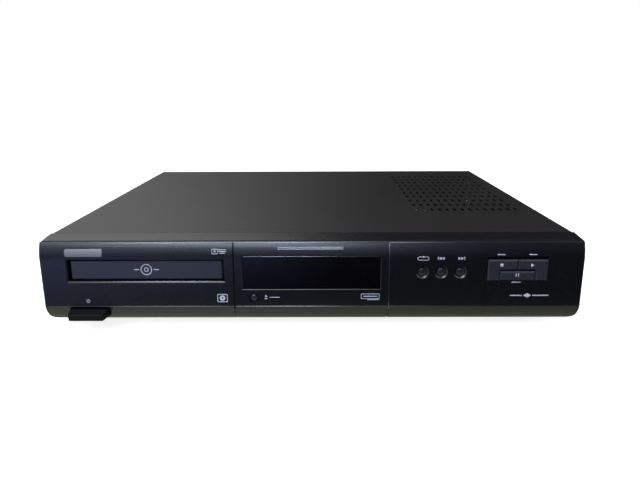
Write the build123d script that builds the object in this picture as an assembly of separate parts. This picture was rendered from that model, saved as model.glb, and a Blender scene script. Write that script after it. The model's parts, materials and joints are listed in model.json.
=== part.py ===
from build123d import *
import math
import os

# A full-width disc player for a hi-fi rack: a moulded front with a sliding disc tray, display window
# and keys, a folded steel cover over a steel pan, and inside it the disc loader, main board and
# power supply. All sizes are millimetres. X runs to the right, Y to the back, Z up, and the origin
# is under the middle of the whole player, on the surface that its feet stand on.

# Cabinet
cabinet_width = 437.4
cabinet_height = 69.0
foot_height = 10.0
cover_depth = 290.0
cover_inset = 1.5
cover_sheet = 0.8
cover_gap = 0.3
pan_sheet = 1.0
rear_lip = 7.0
rear_lip_gap = 0.3
pan_gap = 0.7

# Moulded front, seen from the side
front_flange = 17.5
flange_drop = 2.0
face_forward = 9.5
shoulder_forward = 4.8
shoulder_drop = 14.0
strip_height = 14.7
strip_recess = 8.7
strip_bulge = 1.7
strip_step = 0.6
strip_edge = 0.5
front_wall = 2.5
end_wall = 3.2
end_taper = 0.7
end_round = 1.6
top_corner = 2.0
bottom_corner = 6.0
tongue_length = 8.0
tongue_thickness = 2.0
groove_x = 62.5
groove_width = 1.1
groove_depth = 1.0

# Disc, tray opening and door
disc_radius = 60.0
disc_gap = 0.5
tray_side = 1.7
tray_offset = 7.1
opening_gap = 0.8
opening_height = 17.7
opening_middle_z = 54.25
opening_wall = 2.0
opening_chamfer = 1.0
tunnel_end = 9.0
door_side_gap = 1.5
door_top_gap = 0.7
door_recess = 2.9
door_thickness = 4.0
door_bevel = 0.8

# Display window
window_width = 111.5
window_height = 27.4
window_middle_z = 52.4
window_frame = 2.2
window_lens = 1.8
window_sink = 0.7
window_gap = 0.25
window_chamfer = 0.4

# Round buttons
round_button_offset = 2.35
round_button_pitch = 15.2
round_button_z = 52.7
round_button_radius = 3.3
round_dish_radius = 5.2
open_button_inset = 9.05
open_button_z = 31.5
open_button_radius = 2.7
open_dish_radius = 3.9
dish_depth = 1.1
dish_ledge = 0.35
button_gap = 0.3
button_proud = 0.2
button_dome = 0.9
guide_wall = 1.6
guide_length = 5.0
button_flange = 0.8
collar_gap = 0.25

# Transport keys
key_block_from_end = 53.6
key_block_width = 47.8
key_block_top = 64.8
key_block_bottom = 46.1
key_top_gap = 2.0
key_gap = 0.3
key_row_gap = 1.2
key_split_z = 54.7
pause_width = 28.0
key_proud = 1.0
key_bevel = 0.8
key_well_depth = 5.0
key_travel = 0.8

# Power button
power_from_end = 37.1
power_reach = 9.2
power_back_width = 31.6
power_front_width = 27.2
power_front_height = 5.1
power_top_fall = 2.2
power_gap = 0.4
power_travel = 3.5

# Badge plate
badge_from_end = 36.4
badge_from_top = 8.0
badge_width = 30.0
badge_height = 6.0
badge_corner = 1.0
badge_thickness = 0.45

# Front circuit board
board_sheet = 1.6
front_board_setback = 16.0
front_board_edge = 7.0
tact_body = 6.0
tact_height = 3.5
tact_plunger_radius = 1.7
tact_plunger = 0.8
tact_clearance = 0.3
fuse_radius = 2.6
tube_inset = 8.75
tube_height = 24.0
tube_thickness = 7.0

# Feet and screws
foot_radius = 18.0
foot_pad_radius = 13.0
foot_pad = 2.0
foot_pad_sink = 1.0
foot_side = 45.0
foot_front = 27.0
foot_back = 30.0
screw_radius = 1.5
screw_head_radius = 3.0
screw_head = 1.4
slot_half = 0.5
slot_reach = 2.0
slot_depth = 0.7
screw_hole_gap = 0.2
pan_wall = 20.0

# Disc tray and its frame
tray_tail = 54.0
tray_rail = 2.5
tray_height = 11.0
tray_rise = 0.9
tray_plate = 5.5
tray_still_held = 40.0
tray_front_wall = 5.0
disc_well_depth = 2.6
small_well_radius = 40.5
small_well_depth = 3.8
slot_half_width = 23.0
loader_wall = 3.0
loader_gap = 0.7
loader_depth = 20.0
loader_floor = 2.5
loader_floor_drop = 17.0
loader_rim = 2.5
loader_front_gap = 3.0
loader_back_room = 7.0
loader_foot = 6.0
loader_foot_thickness = 3.0
ledge_width = 3.0
ledge_thickness = 2.7
slide_gap = 0.3
lip_width = 2.2

# Gear train
rack_module = 1.0
tray_pinion_teeth = 20
rack_from_rail = 4.5
rack_band = 4.6
gear_module = 0.8
tray_wheel_teeth = 36
pulley_pinion_teeth = 12
gear_backlash = 0.16
pressure_angle = 20.0
gear_from_front = 16.0
axle_radius = 2.0
axle_clearance = 0.1
wheel_drop = 8.0
wheel_height = 3.6
pulley_radius = 12.0
motor_pulley_radius = 3.2
pulley_height = 4.6
pulley_drop = 13.1
belt_radius = 0.9
belt_clearance = 0.25
belt_span = 42.0
tray_motor_radius = 12.0
tray_motor_height = 17.5
motor_shaft_radius = 1.0
shaft_gap = 0.05

# Disc drive on the traverse
turntable_sink = 1.0
turntable_radius = 15.0
turntable_sheet = 1.5
hub_radius = 7.4
hub_height = 2.6
spindle_shaft_radius = 1.25
spindle_motor_radius = 12.5
spindle_motor_height = 7.0
traverse_half_width = 36.0
traverse_sheet = 2.0
traverse_drop = 4.0
traverse_front = 17.5
traverse_back = 98.0
traverse_window_half = 26.0
traverse_window_start = 14.5
traverse_window_end = 78.0
pivot_radius = 2.5
pivot_back = 102.0
pivot_drop = 3.0
ear_half = 5.0
ear_wall = 4.0
lift_angle = 5.0
lift_pin_radius = 1.5
lift_pin_drop = 5.0
pin_inset = 0.4
cam_thickness = 2.5
cam_height = 22.0
cam_above_pin = 6.0
guide_rail_wall = 2.0
cam_half_width = 32.0
cam_travel = 20.0
cam_slot_gap = 0.45
cam_to_traverse = 2.0
rod_radius = 1.5
rod_spread = 24.5
rod_rise = 2.6
sled_length = 26.0
sled_width = 40.0
sled_clearance = 0.4
sled_height = 6.6
head_half_width = 11.0
head_height = 4.0
lens_radius = 2.6
lens_height = 1.2
sled_inner_radius = 25.0
sled_travel = 33.0
lead_radius = 1.3
lead_offset = 33.0
lead_pitch = 3.0
thread_half = 0.4
thread_depth = 0.35
sled_motor_radius = 5.5
sled_motor_length = 14.0
clamp_plate = 2.0
clamp_half_depth = 22.0
clamp_hole_radius = 12.0
clamp_neck_radius = 9.5
clamp_disc_radius = 16.5
clamp_disc_thickness = 1.3
clamp_flange_radius = 14.5
clamp_flange_thickness = 1.8
clamp_recess_radius = 8.6

# Circuit boards at the back
board_rise = 6.0
standoff_radius = 3.5
main_from_loader = 8.0
main_width = 112.0
main_front = 72.0
board_back_gap = 4.0
supply_from_end = 12.7
supply_width = 96.0
supply_front = 55.0
supply_length = 191.0
board_hole_inset = 6.0

# Parts on the boards: offsets from the board's front left corner, then their sizes
chip_places = (
    (58.0, 60.0, 28.0, 28.0, 2.6),
    (94.0, 55.0, 11.0, 20.0, 1.8),
    (94.0, 85.0, 11.0, 20.0, 1.8),
    (22.0, 50.0, 14.0, 20.0, 2.2),
    (66.0, 110.0, 20.0, 12.0, 2.2),
)
chip_lead = 1.2
capacitor_places = (
    (20.0, 130.0, 11.0, 30.0),
    (76.0, 60.0, 6.3, 22.0),
    (76.0, 78.0, 6.3, 22.0),
    (78.0, 98.0, 5.0, 16.0),
    (66.0, 120.0, 5.0, 16.0),
)
transformer_place = (46.0, 88.0)
transformer_half = 16.0
transformer_rise = 5.0
transformer_height = 20.0
sink_place = (34.0, 46.0)
sink_width = 50.0
sink_height = 32.0
sink_sheet = 3.0
sink_fins = 6
sink_fin_reach = 12.0
choke_place = (70.0, 158.0)
choke_half = 9.0
choke_height = 18.0
fuse_place = (40.0, 166.0)
fuse_half = 10.0
fuse_rise = 4.2
fuse_cap = 0.25

# Rear sockets
jack_reach = 8.3
jack_radius = 4.15
jack_bore_radius = 1.75
jack_block = 13.0
jack_block_depth = 12.0
jack_columns = 2
jack_rows = 2
jack_pitch = 14.0
jack_inset = 3.0
jack_rise = 8.4
socket_gap = 4.0
scart_rise = 19.4
scart_width = 50.0
scart_height = 17.0
scart_body_depth = 16.0
scart_reach = 1.2
scart_mouth_width = 44.0
scart_mouth_height = 11.6
scart_ring = 1.5
scart_depth = 9.0
scart_key = 4.0
scart_contact_rows = 10
scart_contact_pitch = 3.6
scart_contact_shift = 1.2
scart_contact_rise = 2.1
scart_leg = 4.0
inlet_from_end = 36.7
inlet_rise = 24.0
inlet_half_width = 8.2
inlet_half_height = 4.6
inlet_wall = 2.2
inlet_depth = 12.0
inlet_pin_radius = 1.18
inlet_pin_spread = 4.3
inlet_pin_length = 9.0
inlet_flange = 3.0
hole_gap = 0.4
ribbon_width = 24.0
ribbon_inset = 64.0
ribbon_sheet = 0.4

# Vent slots in the cover, over the power supply
vent_columns = 14
vent_rows = 10
vent_pitch_x = 7.4
vent_pitch_y = 18.9
vent_width = 3.0
vent_length = 9.0
vent_from_end = 68.7
vent_front = 75.0

# Places worked out from the sizes
half_width = cabinet_width / 2
base_z = foot_height
top_z = base_z + cabinet_height
face_top_z = top_z - flange_drop
crease_z = base_z + strip_height
overall_depth = power_reach + face_forward + front_flange + cover_depth + jack_reach
crease_y = power_reach - overall_depth / 2
face_top_y = crease_y + face_forward
cover_front_y = face_top_y + front_flange
cover_back_y = cover_front_y + cover_depth
face_slope = (face_forward - shoulder_forward) / (face_top_z - shoulder_drop - crease_z)
cover_outer = half_width - cover_inset
cover_inner = cover_outer - cover_sheet
pan_outer = cover_inner - pan_gap
floor_z = base_z + pan_sheet
panel_back_y = cover_back_y - cover_sheet - rear_lip_gap
panel_front_y = panel_back_y - pan_sheet

disc_well_radius = disc_radius + disc_gap
tray_width = 2 * (disc_well_radius + tray_side)
tray_x = tray_offset - (half_width + groove_x) / 2
opening_width = tray_width + 2 * opening_gap
door_width = opening_width - 2 * door_side_gap
door_height = opening_height - 2 * door_top_gap
tray_top_z = opening_middle_z + tray_height / 2 + tray_rise
tray_bottom_z = tray_top_z - tray_height
tray_plate_z = tray_top_z - tray_plate
tray_length = tray_front_wall + 2 * disc_well_radius + tray_tail
tray_travel = tray_length - tray_still_held
tray_front_y = crease_y + door_recess + door_thickness + (opening_middle_z - crease_z) * face_slope
spindle_y = tray_front_y + tray_front_wall + disc_well_radius

loader_half = tray_width / 2 + loader_gap + loader_wall
loader_front_y = cover_front_y - tunnel_end + loader_front_gap
loader_back_y = tray_front_y + tray_length + loader_back_room
loader_bottom_z = tray_bottom_z - loader_depth
loader_floor_z = tray_bottom_z - loader_floor_drop
loader_top_z = tray_top_z + loader_rim
gear_y = loader_front_y + gear_from_front
rack_line_x = tray_x - tray_width / 2 + tray_rail + rack_from_rail
tray_gear_x = rack_line_x + rack_module * tray_pinion_teeth / 2
pulley_x = tray_gear_x + gear_module * (tray_wheel_teeth + pulley_pinion_teeth) / 2
motor_x = pulley_x + belt_span
wheel_bottom_z = tray_bottom_z - wheel_drop
pulley_bottom_z = tray_bottom_z - pulley_drop

turntable_z = tray_top_z - turntable_sink
traverse_top_z = tray_bottom_z - traverse_drop
traverse_front_y = spindle_y - traverse_front
traverse_back_y = spindle_y + traverse_back
pivot_y = spindle_y + pivot_back
pivot_z = traverse_top_z - pivot_drop
lift_pin_z = traverse_top_z - lift_pin_drop
cam_back_y = traverse_front_y - cam_to_traverse
lift_drop = (pivot_y - cam_back_y) * math.sin(math.radians(lift_angle))
rod_z = traverse_top_z + rod_rise
sled_bottom_z = traverse_top_z + sled_clearance
sled_top_z = sled_bottom_z + sled_height
head_top_z = sled_top_z + head_height

front_board_y = face_top_y + front_board_setback
key_block_x = half_width - key_block_from_end
round_button_middle = (groove_x + key_block_x - key_block_width / 2) / 2 + round_button_offset
round_button_x = [round_button_middle + k * round_button_pitch for k in (-1, 0, 1)]
open_button_x = open_button_inset - window_width / 2
power_x = power_from_end - half_width
badge_x = badge_from_end - half_width
badge_z = face_top_z - badge_from_top
tube_width = window_width - 2 * tube_inset

board_z = floor_z + board_rise
main_left = tray_x + loader_half + main_from_loader
main_right = main_left + main_width
supply_right = half_width - supply_from_end
supply_left = supply_right - supply_width
supply_back = supply_front + supply_length
jack_left = main_left + jack_inset + jack_pitch / 2
jack_tip_y = cover_back_y + jack_reach
jack_block_y = panel_front_y - rear_lip_gap - jack_block_depth
jack_x = [jack_left + k * jack_pitch for k in range(jack_columns)]
jack_z = [board_z + board_sheet + jack_rise + k * jack_pitch for k in range(jack_rows)]
scart_x = jack_x[-1] + (jack_pitch + scart_width) / 2 + socket_gap
scart_z = board_z + board_sheet + scart_rise
inlet_x = half_width - inlet_from_end
inlet_z = base_z + inlet_rise
vent_middle_x = half_width - vent_from_end


def block(x0, x1, y0, y1, z0, z1):
    return Pos((x0 + x1) / 2, (y0 + y1) / 2, (z0 + z1) / 2) * Box(x1 - x0, y1 - y0, z1 - z0)


def post(x, y, z0, z1, radius):
    return Pos(x, y, (z0 + z1) / 2) * Cylinder(radius, z1 - z0)


def bar_y(x, z, y0, y1, radius):
    return Pos(x, (y0 + y1) / 2, z) * Rot(90, 0, 0) * Cylinder(radius, y1 - y0)


def bar_x(y, z, x0, x1, radius):
    return Pos((x0 + x1) / 2, y, z) * Rot(0, 90, 0) * Cylinder(radius, x1 - x0)


def side_prism(face, x0, x1):
    """A face drawn in Y and Z, run from x0 to x1."""
    return Pos(x0, 0, 0) * extrude(Plane.YZ * face, amount=x1 - x0)


def front_prism(face, y0, y1):
    """A face drawn in X and Z, run from y0 to y1."""
    return Pos(0, y1, 0) * extrude(Plane.XZ * face, amount=y1 - y0)


def outline(*points):
    return make_face(Polyline(*points, close=True))


def face_plane(x, z):
    """The plane of the front's flat face at x and z, facing out of the player."""
    y = crease_y + (z - crease_z) * face_slope
    return Plane(origin=(x, y, z), x_dir=(1, 0, 0), z_dir=(0, -1, face_slope))


def chamfered_mouth(x, z, width, height, chamfer):
    """What a chamfer round a rectangular mouth in the face takes away."""
    mouth = face_plane(x, z) * Rectangle(width + 2 * chamfer, height + 2 * chamfer)
    return extrude(mouth, amount=-chamfer, taper=45)


def save(node, shape):
    export_step(shape, f"parts/{node}.step")


# Moulded front

def front_side_face():
    """The front's outer shape seen from the side."""
    back_y = cover_front_y - cover_gap
    top_back = (back_y, top_z)
    top_edge = (face_top_y, face_top_z)
    shoulder = (face_top_y - shoulder_forward, face_top_z - shoulder_drop)
    crease = (crease_y, crease_z)
    step = (crease_y + strip_step, crease_z - strip_step)
    foot_edge = (crease_y + strip_recess, base_z)
    bottom_back = (back_y, base_z)
    middle = (
        (step[0] + foot_edge[0]) / 2 - strip_bulge,
        (step[1] + foot_edge[1]) / 2 - strip_bulge / 2,
    )
    edges = [
        Line(top_back, top_edge),
        TangentArc(shoulder, top_edge, tangent=(face_slope, 1)),
        Line(shoulder, crease),
        Line(crease, step),
        ThreePointArc(step, middle, foot_edge),
        Line(foot_edge, bottom_back),
        Line(bottom_back, top_back),
    ]
    return make_face(edges)


def front_outer():
    """The front as a solid block, with tapered ends and rounded lower corners."""
    body = side_prism(front_side_face(), -half_width, half_width)
    low = half_width - end_taper
    ends = outline(
        (-half_width, top_z),
        (half_width, top_z),
        (low, base_z),
        (-low, base_z),
    )
    corners = ends.vertices().sort_by(Axis.Y)
    ends = fillet(corners[:2], bottom_corner)
    body = body & front_prism(ends, crease_y - 1, cover_front_y)
    tips = [e for e in body.edges() if is_front_tip(e)]
    body = fillet(tips, end_round)
    return chamfer(body.faces().sort_by(Axis.Z)[0].edges().sort_by(Axis.Y)[0], strip_edge)


def is_front_tip(edge):
    """True for the edges between the face or the top flange and an end of the front."""
    centre = edge.center()
    at_end = abs(centre.X) > half_width - end_taper - 0.2
    return at_end and centre.Z > crease_z and centre.Y < cover_front_y - 2


def front_cavity():
    wall = front_wall
    inside = outline(
        (cover_front_y + 1, top_z - cover_sheet - tongue_thickness - cover_gap),
        (face_top_y + wall, face_top_z - wall),
        (face_top_y - shoulder_forward + wall, face_top_z - shoulder_drop),
        (crease_y + wall, crease_z),
        (crease_y + strip_recess + wall / 2, base_z + wall),
        (cover_front_y + 1, base_z + wall),
    )
    reach = half_width - end_wall
    return side_prism(inside, -reach, reach)


def front_tongues():
    """The ledges that carry the cover's front edge, and the tabs that lie on the pan."""
    y0 = cover_front_y - 4
    y1 = cover_front_y + tongue_length
    top = top_z - cover_sheet - cover_gap
    inner = cover_inner - cover_gap
    tongues = block(-inner, inner, y0, y1, top - tongue_thickness, top)
    for side in (-1, 1):
        x0, x1 = sorted((side * inner, side * (inner - tongue_thickness)))
        tongues += block(x0, x1, y0, y1, floor_z + pan_wall + 1, top)
    for x in (-cabinet_width / 3, -cabinet_width / 7, cabinet_width / 7, cabinet_width / 3):
        tongues += block(x - 7, x + 7, y0, y1, floor_z + cover_gap, floor_z + 2.5)
    return tongues


def front_grooves(outer):
    skin = outer - Pos(0, groove_depth, 0) * outer
    half = groove_width / 2
    y0, y1 = crease_y - 1, cover_front_y
    grooves = block(-groove_x - half, -groove_x + half, y0, y1, base_z, top_z)
    grooves += block(groove_x - half, groove_x + half, y0, y1, base_z, top_z)
    return skin & grooves


def round_hole(x, z, radius, dish):
    """A dished mouth and a straight hole for a round button."""
    narrowing = dish - radius - button_gap - dish_ledge
    taper = math.degrees(math.atan(narrowing / dish_depth))
    mouth = extrude(face_plane(x, z) * Circle(dish), amount=-dish_depth, taper=taper)
    return mouth + bar_y(x, z, crease_y - 2, front_board_y, radius + button_gap)


def round_guide(x, z, radius):
    y = crease_y + (z - crease_z) * face_slope
    return bar_y(x, z, y + front_wall / 2, y + front_wall + guide_length, radius + button_gap + guide_wall)


def opening_sides():
    half = opening_width / 2
    z0 = opening_middle_z - opening_height / 2
    return tray_x - half, tray_x + half, z0, z0 + opening_height


def key_well_sides():
    half = key_block_width / 2 + key_gap
    return key_block_x - half, key_block_x + half, key_block_bottom - key_gap, key_block_top


def make_front():
    outer = front_outer()
    front = outer - front_cavity()
    x0, x1, z0, z1 = opening_sides()
    wall = opening_wall
    tunnel_back = cover_front_y - tunnel_end
    front += outer & block(x0 - wall, x1 + wall, crease_y, tunnel_back, z0 - wall, z1 + wall)
    half_w = window_width / 2
    half_h = window_height / 2
    seat = window_sink + window_lens
    frame_y = crease_y + (window_middle_z - crease_z) * face_slope + seat
    pad = block(
        -half_w - wall, half_w + wall, crease_y, frame_y + wall + 1,
        window_middle_z - half_h - wall, window_middle_z + half_h + wall,
    )
    front += outer & pad
    kx0, kx1, kz0, kz1 = key_well_sides()
    key_y = crease_y + (key_split_z - crease_z) * face_slope
    front += outer & block(kx0 - wall, kx1 + wall, crease_y, key_y + key_well_depth, kz0 - wall, kz1 + wall)
    for x in round_button_x:
        front += outer & round_guide(x, round_button_z, round_button_radius)
    front += outer & round_guide(open_button_x, open_button_z, open_button_radius)

    front -= block(x0, x1, crease_y - 2, tunnel_back + 1, z0, z1)
    front -= chamfered_mouth(tray_x, opening_middle_z, opening_width, opening_height, opening_chamfer)
    lens_seat = face_plane(0, window_middle_z) * Rectangle(window_width, window_height)
    front -= extrude(lens_seat, amount=-seat)
    front -= chamfered_mouth(0, window_middle_z, window_width, window_height, window_chamfer)
    front -= block(
        -half_w + window_frame, half_w - window_frame, crease_y, cover_front_y,
        window_middle_z - half_h + window_frame, window_middle_z + half_h - window_frame,
    )
    front -= block(kx0, kx1, crease_y - 2, cover_front_y, kz0, kz1)
    key_middle = (kz0 + kz1) / 2
    front -= chamfered_mouth(key_block_x, key_middle, kx1 - kx0, kz1 - kz0, window_chamfer)
    for x in round_button_x:
        front -= round_hole(x, round_button_z, round_button_radius, round_dish_radius)
    front -= round_hole(open_button_x, open_button_z, open_button_radius, open_dish_radius)
    px0, px1, pz0, pz1 = power_hole_sides()
    front -= block(px0, px1, crease_y - 2, cover_front_y, pz0, pz1)
    front -= front_grooves(outer)
    return front + front_tongues()


def power_hole_sides():
    half = power_back_width / 2 + power_gap
    top = crease_z - strip_step - power_gap
    return power_x - half, power_x + half, top - power_block_height() - 2 * power_gap, top


def power_block_height():
    return power_front_height + power_top_fall


# Window, badge and keys on the front

def make_window():
    plane = face_plane(0, window_middle_z)
    width = window_width - 2 * window_gap
    height = window_height - 2 * window_gap
    lens = extrude(plane.offset(-window_sink) * Rectangle(width, height), amount=-window_lens)
    return lens


def round_button(x, z, radius):
    """A domed push button with a collar behind its guide and a stem to its switch."""
    y = crease_y + (z - crease_z) * face_slope
    back = y + front_wall + guide_length
    collar_y = back + collar_gap
    dome_y = y - button_proud
    stem_end = front_board_y - tact_height - tact_plunger - key_travel - tact_clearance
    body = bar_y(x, z, dome_y + button_dome, collar_y, radius)
    ball = (radius**2 + button_dome**2) / (2 * button_dome)
    dome = Pos(x, dome_y + ball, z) * Sphere(ball)
    dome = dome & bar_y(x, z, dome_y - 1, dome_y + button_dome + 0.01, radius)
    collar = bar_y(x, z, collar_y - 0.01, collar_y + button_flange, radius + button_gap + button_flange)
    stem = bar_y(x, z, collar_y, max(stem_end, collar_y + button_flange), tact_plunger_radius)
    return body + dome + collar + stem


def key_shape(points, stem_x, stem_z):
    """A flat-faced key, proud of the front, with a bevelled edge and a stem to its switch."""
    y = crease_y + (key_split_z - crease_z) * face_slope
    back = y + key_well_depth
    prism = front_prism(outline(*points), crease_y - 5, back)
    proud = Pos(0, -key_proud, 0) * side_prism(front_side_face(), key_block_x - 60, key_block_x + 60)
    key = prism & proud
    faces = key.faces().sort_by(Axis.Y)
    key = chamfer(faces[0].edges(), key_bevel)
    stem_end = front_board_y - tact_height - tact_plunger - key_travel - tact_clearance
    stem = bar_y(stem_x, stem_z, back - 0.5, stem_end, tact_plunger_radius)
    return key + stem


def key_edges():
    left = key_block_x - key_block_width / 2
    right = key_block_x + key_block_width / 2
    top = key_block_top - key_top_gap
    bottom = key_block_bottom
    notch = pause_width / 2 + key_gap
    return left, right, top, bottom, notch


def make_stop_key():
    left, right, top, bottom, notch = key_edges()
    x = key_block_x
    points = (
        (left, bottom), (left, top), (x - key_gap / 2, top), (x - key_gap / 2, key_split_z),
        (x - notch, key_split_z), (x - notch, bottom),
    )
    return key_shape(points, *stop_stem())


def make_play_key():
    left, right, top, bottom, notch = key_edges()
    x = key_block_x
    points = (
        (right, bottom), (right, top), (x + key_gap / 2, top), (x + key_gap / 2, key_split_z),
        (x + notch, key_split_z), (x + notch, bottom),
    )
    return key_shape(points, *play_stem())


def make_pause_key():
    left, right, top, bottom, notch = key_edges()
    half = pause_width / 2
    x = key_block_x
    high = key_split_z - key_row_gap
    points = ((x - half, bottom), (x - half, high), (x + half, high), (x + half, bottom))
    return key_shape(points, *pause_stem())


def stop_stem():
    return key_block_x - key_block_width / 4, (key_split_z + key_block_top - key_top_gap) / 2


def play_stem():
    return key_block_x + key_block_width / 4, (key_split_z + key_block_top - key_top_gap) / 2


def pause_stem():
    return key_block_x, (key_split_z - key_row_gap + key_block_bottom) / 2


def switch_places():
    places = [(x, round_button_z) for x in round_button_x]
    places.append((open_button_x, open_button_z))
    places.extend((stop_stem(), play_stem(), pause_stem()))
    return places


def make_power_button():
    top = crease_z - strip_step - 2 * power_gap
    bottom = top - power_block_height()
    front_y = crease_y - power_reach
    back_y = crease_y + strip_recess + 3
    side = outline(
        (front_y, bottom), (front_y, bottom + power_front_height), (crease_y + strip_step, top),
        (back_y, top), (back_y, bottom),
    )
    half_f = power_front_width / 2
    half_b = power_back_width / 2
    plan = outline(
        (power_x - half_f, front_y), (power_x + half_f, front_y), (power_x + half_b, crease_y + 2),
        (power_x + half_b, back_y), (power_x - half_b, back_y), (power_x - half_b, crease_y + 2),
    )
    button = side_prism(side, power_x - half_b, power_x + half_b)
    button = button & Pos(0, 0, bottom - 1) * extrude(plan, amount=power_block_height() + 2)
    button = fillet(button.faces().sort_by(Axis.Y)[0].edges(), 0.6)
    rod_end = switch_front_y() + power_travel + 4
    return button + bar_y(power_x, (top + bottom) / 2, back_y - 1, rod_end, 2.0)


def switch_front_y():
    return crease_y + strip_recess + 3 + power_travel + 2.5


def make_name_badge():
    """A plain thin plate that lies on the face's curve over the tray's left end."""
    half = badge_width / 2
    tall = badge_height / 2
    outer = front_outer()
    strip = block(badge_x - half, badge_x + half, crease_y, cover_front_y, badge_z - tall, badge_z + tall)
    strip = fillet(strip.edges().filter_by(Axis.Y), badge_corner)
    return strip & (Pos(0, -badge_thickness, 0) * outer - outer)


# Cover, pan, rear panel and feet

def vent_slots():
    slot = SlotOverall(vent_length, vent_width, rotation=90)
    slots = Sketch()
    for column in range(vent_columns):
        for row in range(vent_rows):
            x = vent_middle_x + (column - (vent_columns - 1) / 2) * vent_pitch_x
            y = cover_front_y + vent_front + row * vent_pitch_y
            slots += Pos(x, y) * slot
    return Pos(0, 0, top_z - 2) * extrude(slots, amount=4)


def cover_screw_places():
    z = floor_z + pan_wall * 0.55
    return [(side, y, z) for side in (-1, 1) for y in (cover_front_y + 60, cover_back_y - 50)]


def make_cover():
    bottom = floor_z + 1
    shell = block(-cover_outer, cover_outer, cover_front_y, cover_back_y, bottom, top_z)
    long_edges = shell.edges().filter_by(Axis.Y).group_by(Axis.Z)[-1]
    shell = fillet(long_edges, 2 * cover_sheet)
    back_inside = cover_back_y - cover_sheet
    top_inside = top_z - cover_sheet
    inner = block(-cover_inner, cover_inner, cover_front_y - 1, back_inside, bottom - 1, top_inside)
    inner = fillet(inner.edges().filter_by(Axis.Y).group_by(Axis.Z)[-1], cover_sheet)
    shell -= inner
    lip_z = top_inside - rear_lip
    shell -= block(-cover_inner, cover_inner, cover_back_y - 2, cover_back_y + 1, bottom - 1, lip_z)
    shell -= vent_slots()
    for x, z in rear_screw_places():
        shell -= bar_y(x, z, cover_back_y - 2, cover_back_y + 1, screw_radius + screw_hole_gap)
    for side, y, z in cover_screw_places():
        x0, x1 = sorted((side * (cover_inner - 1), side * (cover_outer + 1)))
        shell -= bar_x(y, z, x0, x1, screw_radius + screw_hole_gap)
    return shell


def standoff_places():
    """Where the boards are screwed to the pan."""
    inset = board_hole_inset
    main_y = (cover_front_y + main_front + inset, panel_front_y - board_back_gap - 3 * inset)
    supply_y = (cover_front_y + supply_front + inset, cover_front_y + supply_back - inset)
    places = [(x, y) for x in (main_left + inset, main_right - inset) for y in main_y]
    places += [(x, y) for x in (supply_left + inset, supply_right - inset) for y in supply_y]
    return places


def loader_post_places():
    inset = loader_wall + 4.5
    xs = (tray_x - loader_half + inset, tray_x + loader_half - inset)
    return [(x, y) for x in xs for y in (loader_front_y + 48, loader_back_y - inset)]


def make_pan():
    y1 = panel_front_y
    pan = block(-pan_outer, pan_outer, cover_front_y, panel_back_y, base_z, floor_z)
    for side in (-1, 1):
        x0, x1 = sorted((side * pan_outer, side * (pan_outer - pan_sheet)))
        pan += block(x0, x1, cover_front_y + tongue_length + 1, y1, base_z, floor_z + pan_wall)
    rib_y = cover_front_y + tongue_length + 4
    pan += block(main_left, pan_outer, rib_y, rib_y + pan_sheet, base_z, floor_z + 11)
    for x, y in standoff_places():
        pan += post(x, y, floor_z - 0.5, board_z, standoff_radius)
        pan -= post(x, y, floor_z, board_z + 1, screw_radius - screw_hole_gap)
    for x, y in loader_post_places():
        pan += post(x, y, floor_z - 0.5, loader_bottom_z, standoff_radius + 1)
        pan -= post(x, y, floor_z, loader_bottom_z + 1, screw_radius - screw_hole_gap)
    for side, y, z in cover_screw_places():
        x0, x1 = sorted((side * (pan_outer + 1), side * (pan_outer - pan_sheet - 1)))
        pan -= bar_x(y, z, x0, x1, screw_radius + screw_hole_gap)
    return pan


def make_rear_panel():
    z1 = top_z - cover_sheet - cover_gap
    panel = block(-pan_outer, pan_outer, panel_front_y, panel_back_y, floor_z, z1)
    for x, z in rear_screw_places():
        panel -= bar_y(x, z, panel_front_y - 1, panel_back_y + 1, screw_radius + screw_hole_gap)
    for x, z in jack_places():
        panel -= bar_y(x, z, panel_front_y - 1, panel_back_y + 1, jack_radius + hole_gap)
    half = scart_width / 2 + hole_gap
    tall = scart_height / 2 + hole_gap
    y0, y1 = panel_front_y - 1, panel_back_y + 1
    panel -= block(scart_x - half, scart_x + half, y0, y1, scart_z - tall, scart_z + tall)
    half = inlet_half_width + inlet_wall + hole_gap
    tall = inlet_half_height + inlet_wall + hole_gap
    panel -= block(inlet_x - half, inlet_x + half, y0, y1, inlet_z - tall, inlet_z + tall)
    return panel


def foot_places():
    x = half_width - foot_side
    y0 = cover_front_y + foot_front
    y1 = cover_back_y - foot_back
    return {"front_left": (-x, y0), "front_right": (x, y0), "rear_left": (-x, y1), "rear_right": (x, y1)}


def make_foot(x, y):
    bottom = foot_pad - foot_pad_sink
    foot = post(x, y, bottom, base_z, foot_radius)
    foot = chamfer(foot.edges().group_by(Axis.Z)[0], 1.5)
    return foot - post(x, y, bottom - 1, bottom + foot_pad_sink, foot_pad_radius + 0.2)


def make_foot_pads():
    pads = [post(x, y, 0, foot_pad, foot_pad_radius) for x, y in foot_places().values()]
    return sum(pads[1:], pads[0])


def make_cover_screws():
    screws = []
    for side, y, z in cover_screw_places():
        x0, x1 = sorted((side * cover_outer, side * (cover_outer + screw_head)))
        head = bar_x(y, z, x0, x1, screw_head_radius)
        s0, s1 = sorted((side * cover_outer, side * (pan_outer - 5)))
        c0, c1 = sorted((side * (cover_outer + slot_depth), side * (cover_outer + screw_head + 1)))
        slot = block(c0, c1, y - slot_half, y + slot_half, z - slot_reach, z + slot_reach)
        screws.append(head + bar_x(y, z, s0, s1, screw_radius) - slot)
    return sum(screws[1:], screws[0])


def rear_screw_places():
    x = pan_outer - 8
    high = top_z - cover_sheet - rear_lip / 2
    low = floor_z + 9
    return [(side * x, z) for side in (-1, 1) for z in (low, high)] + [(0, high)]


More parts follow.
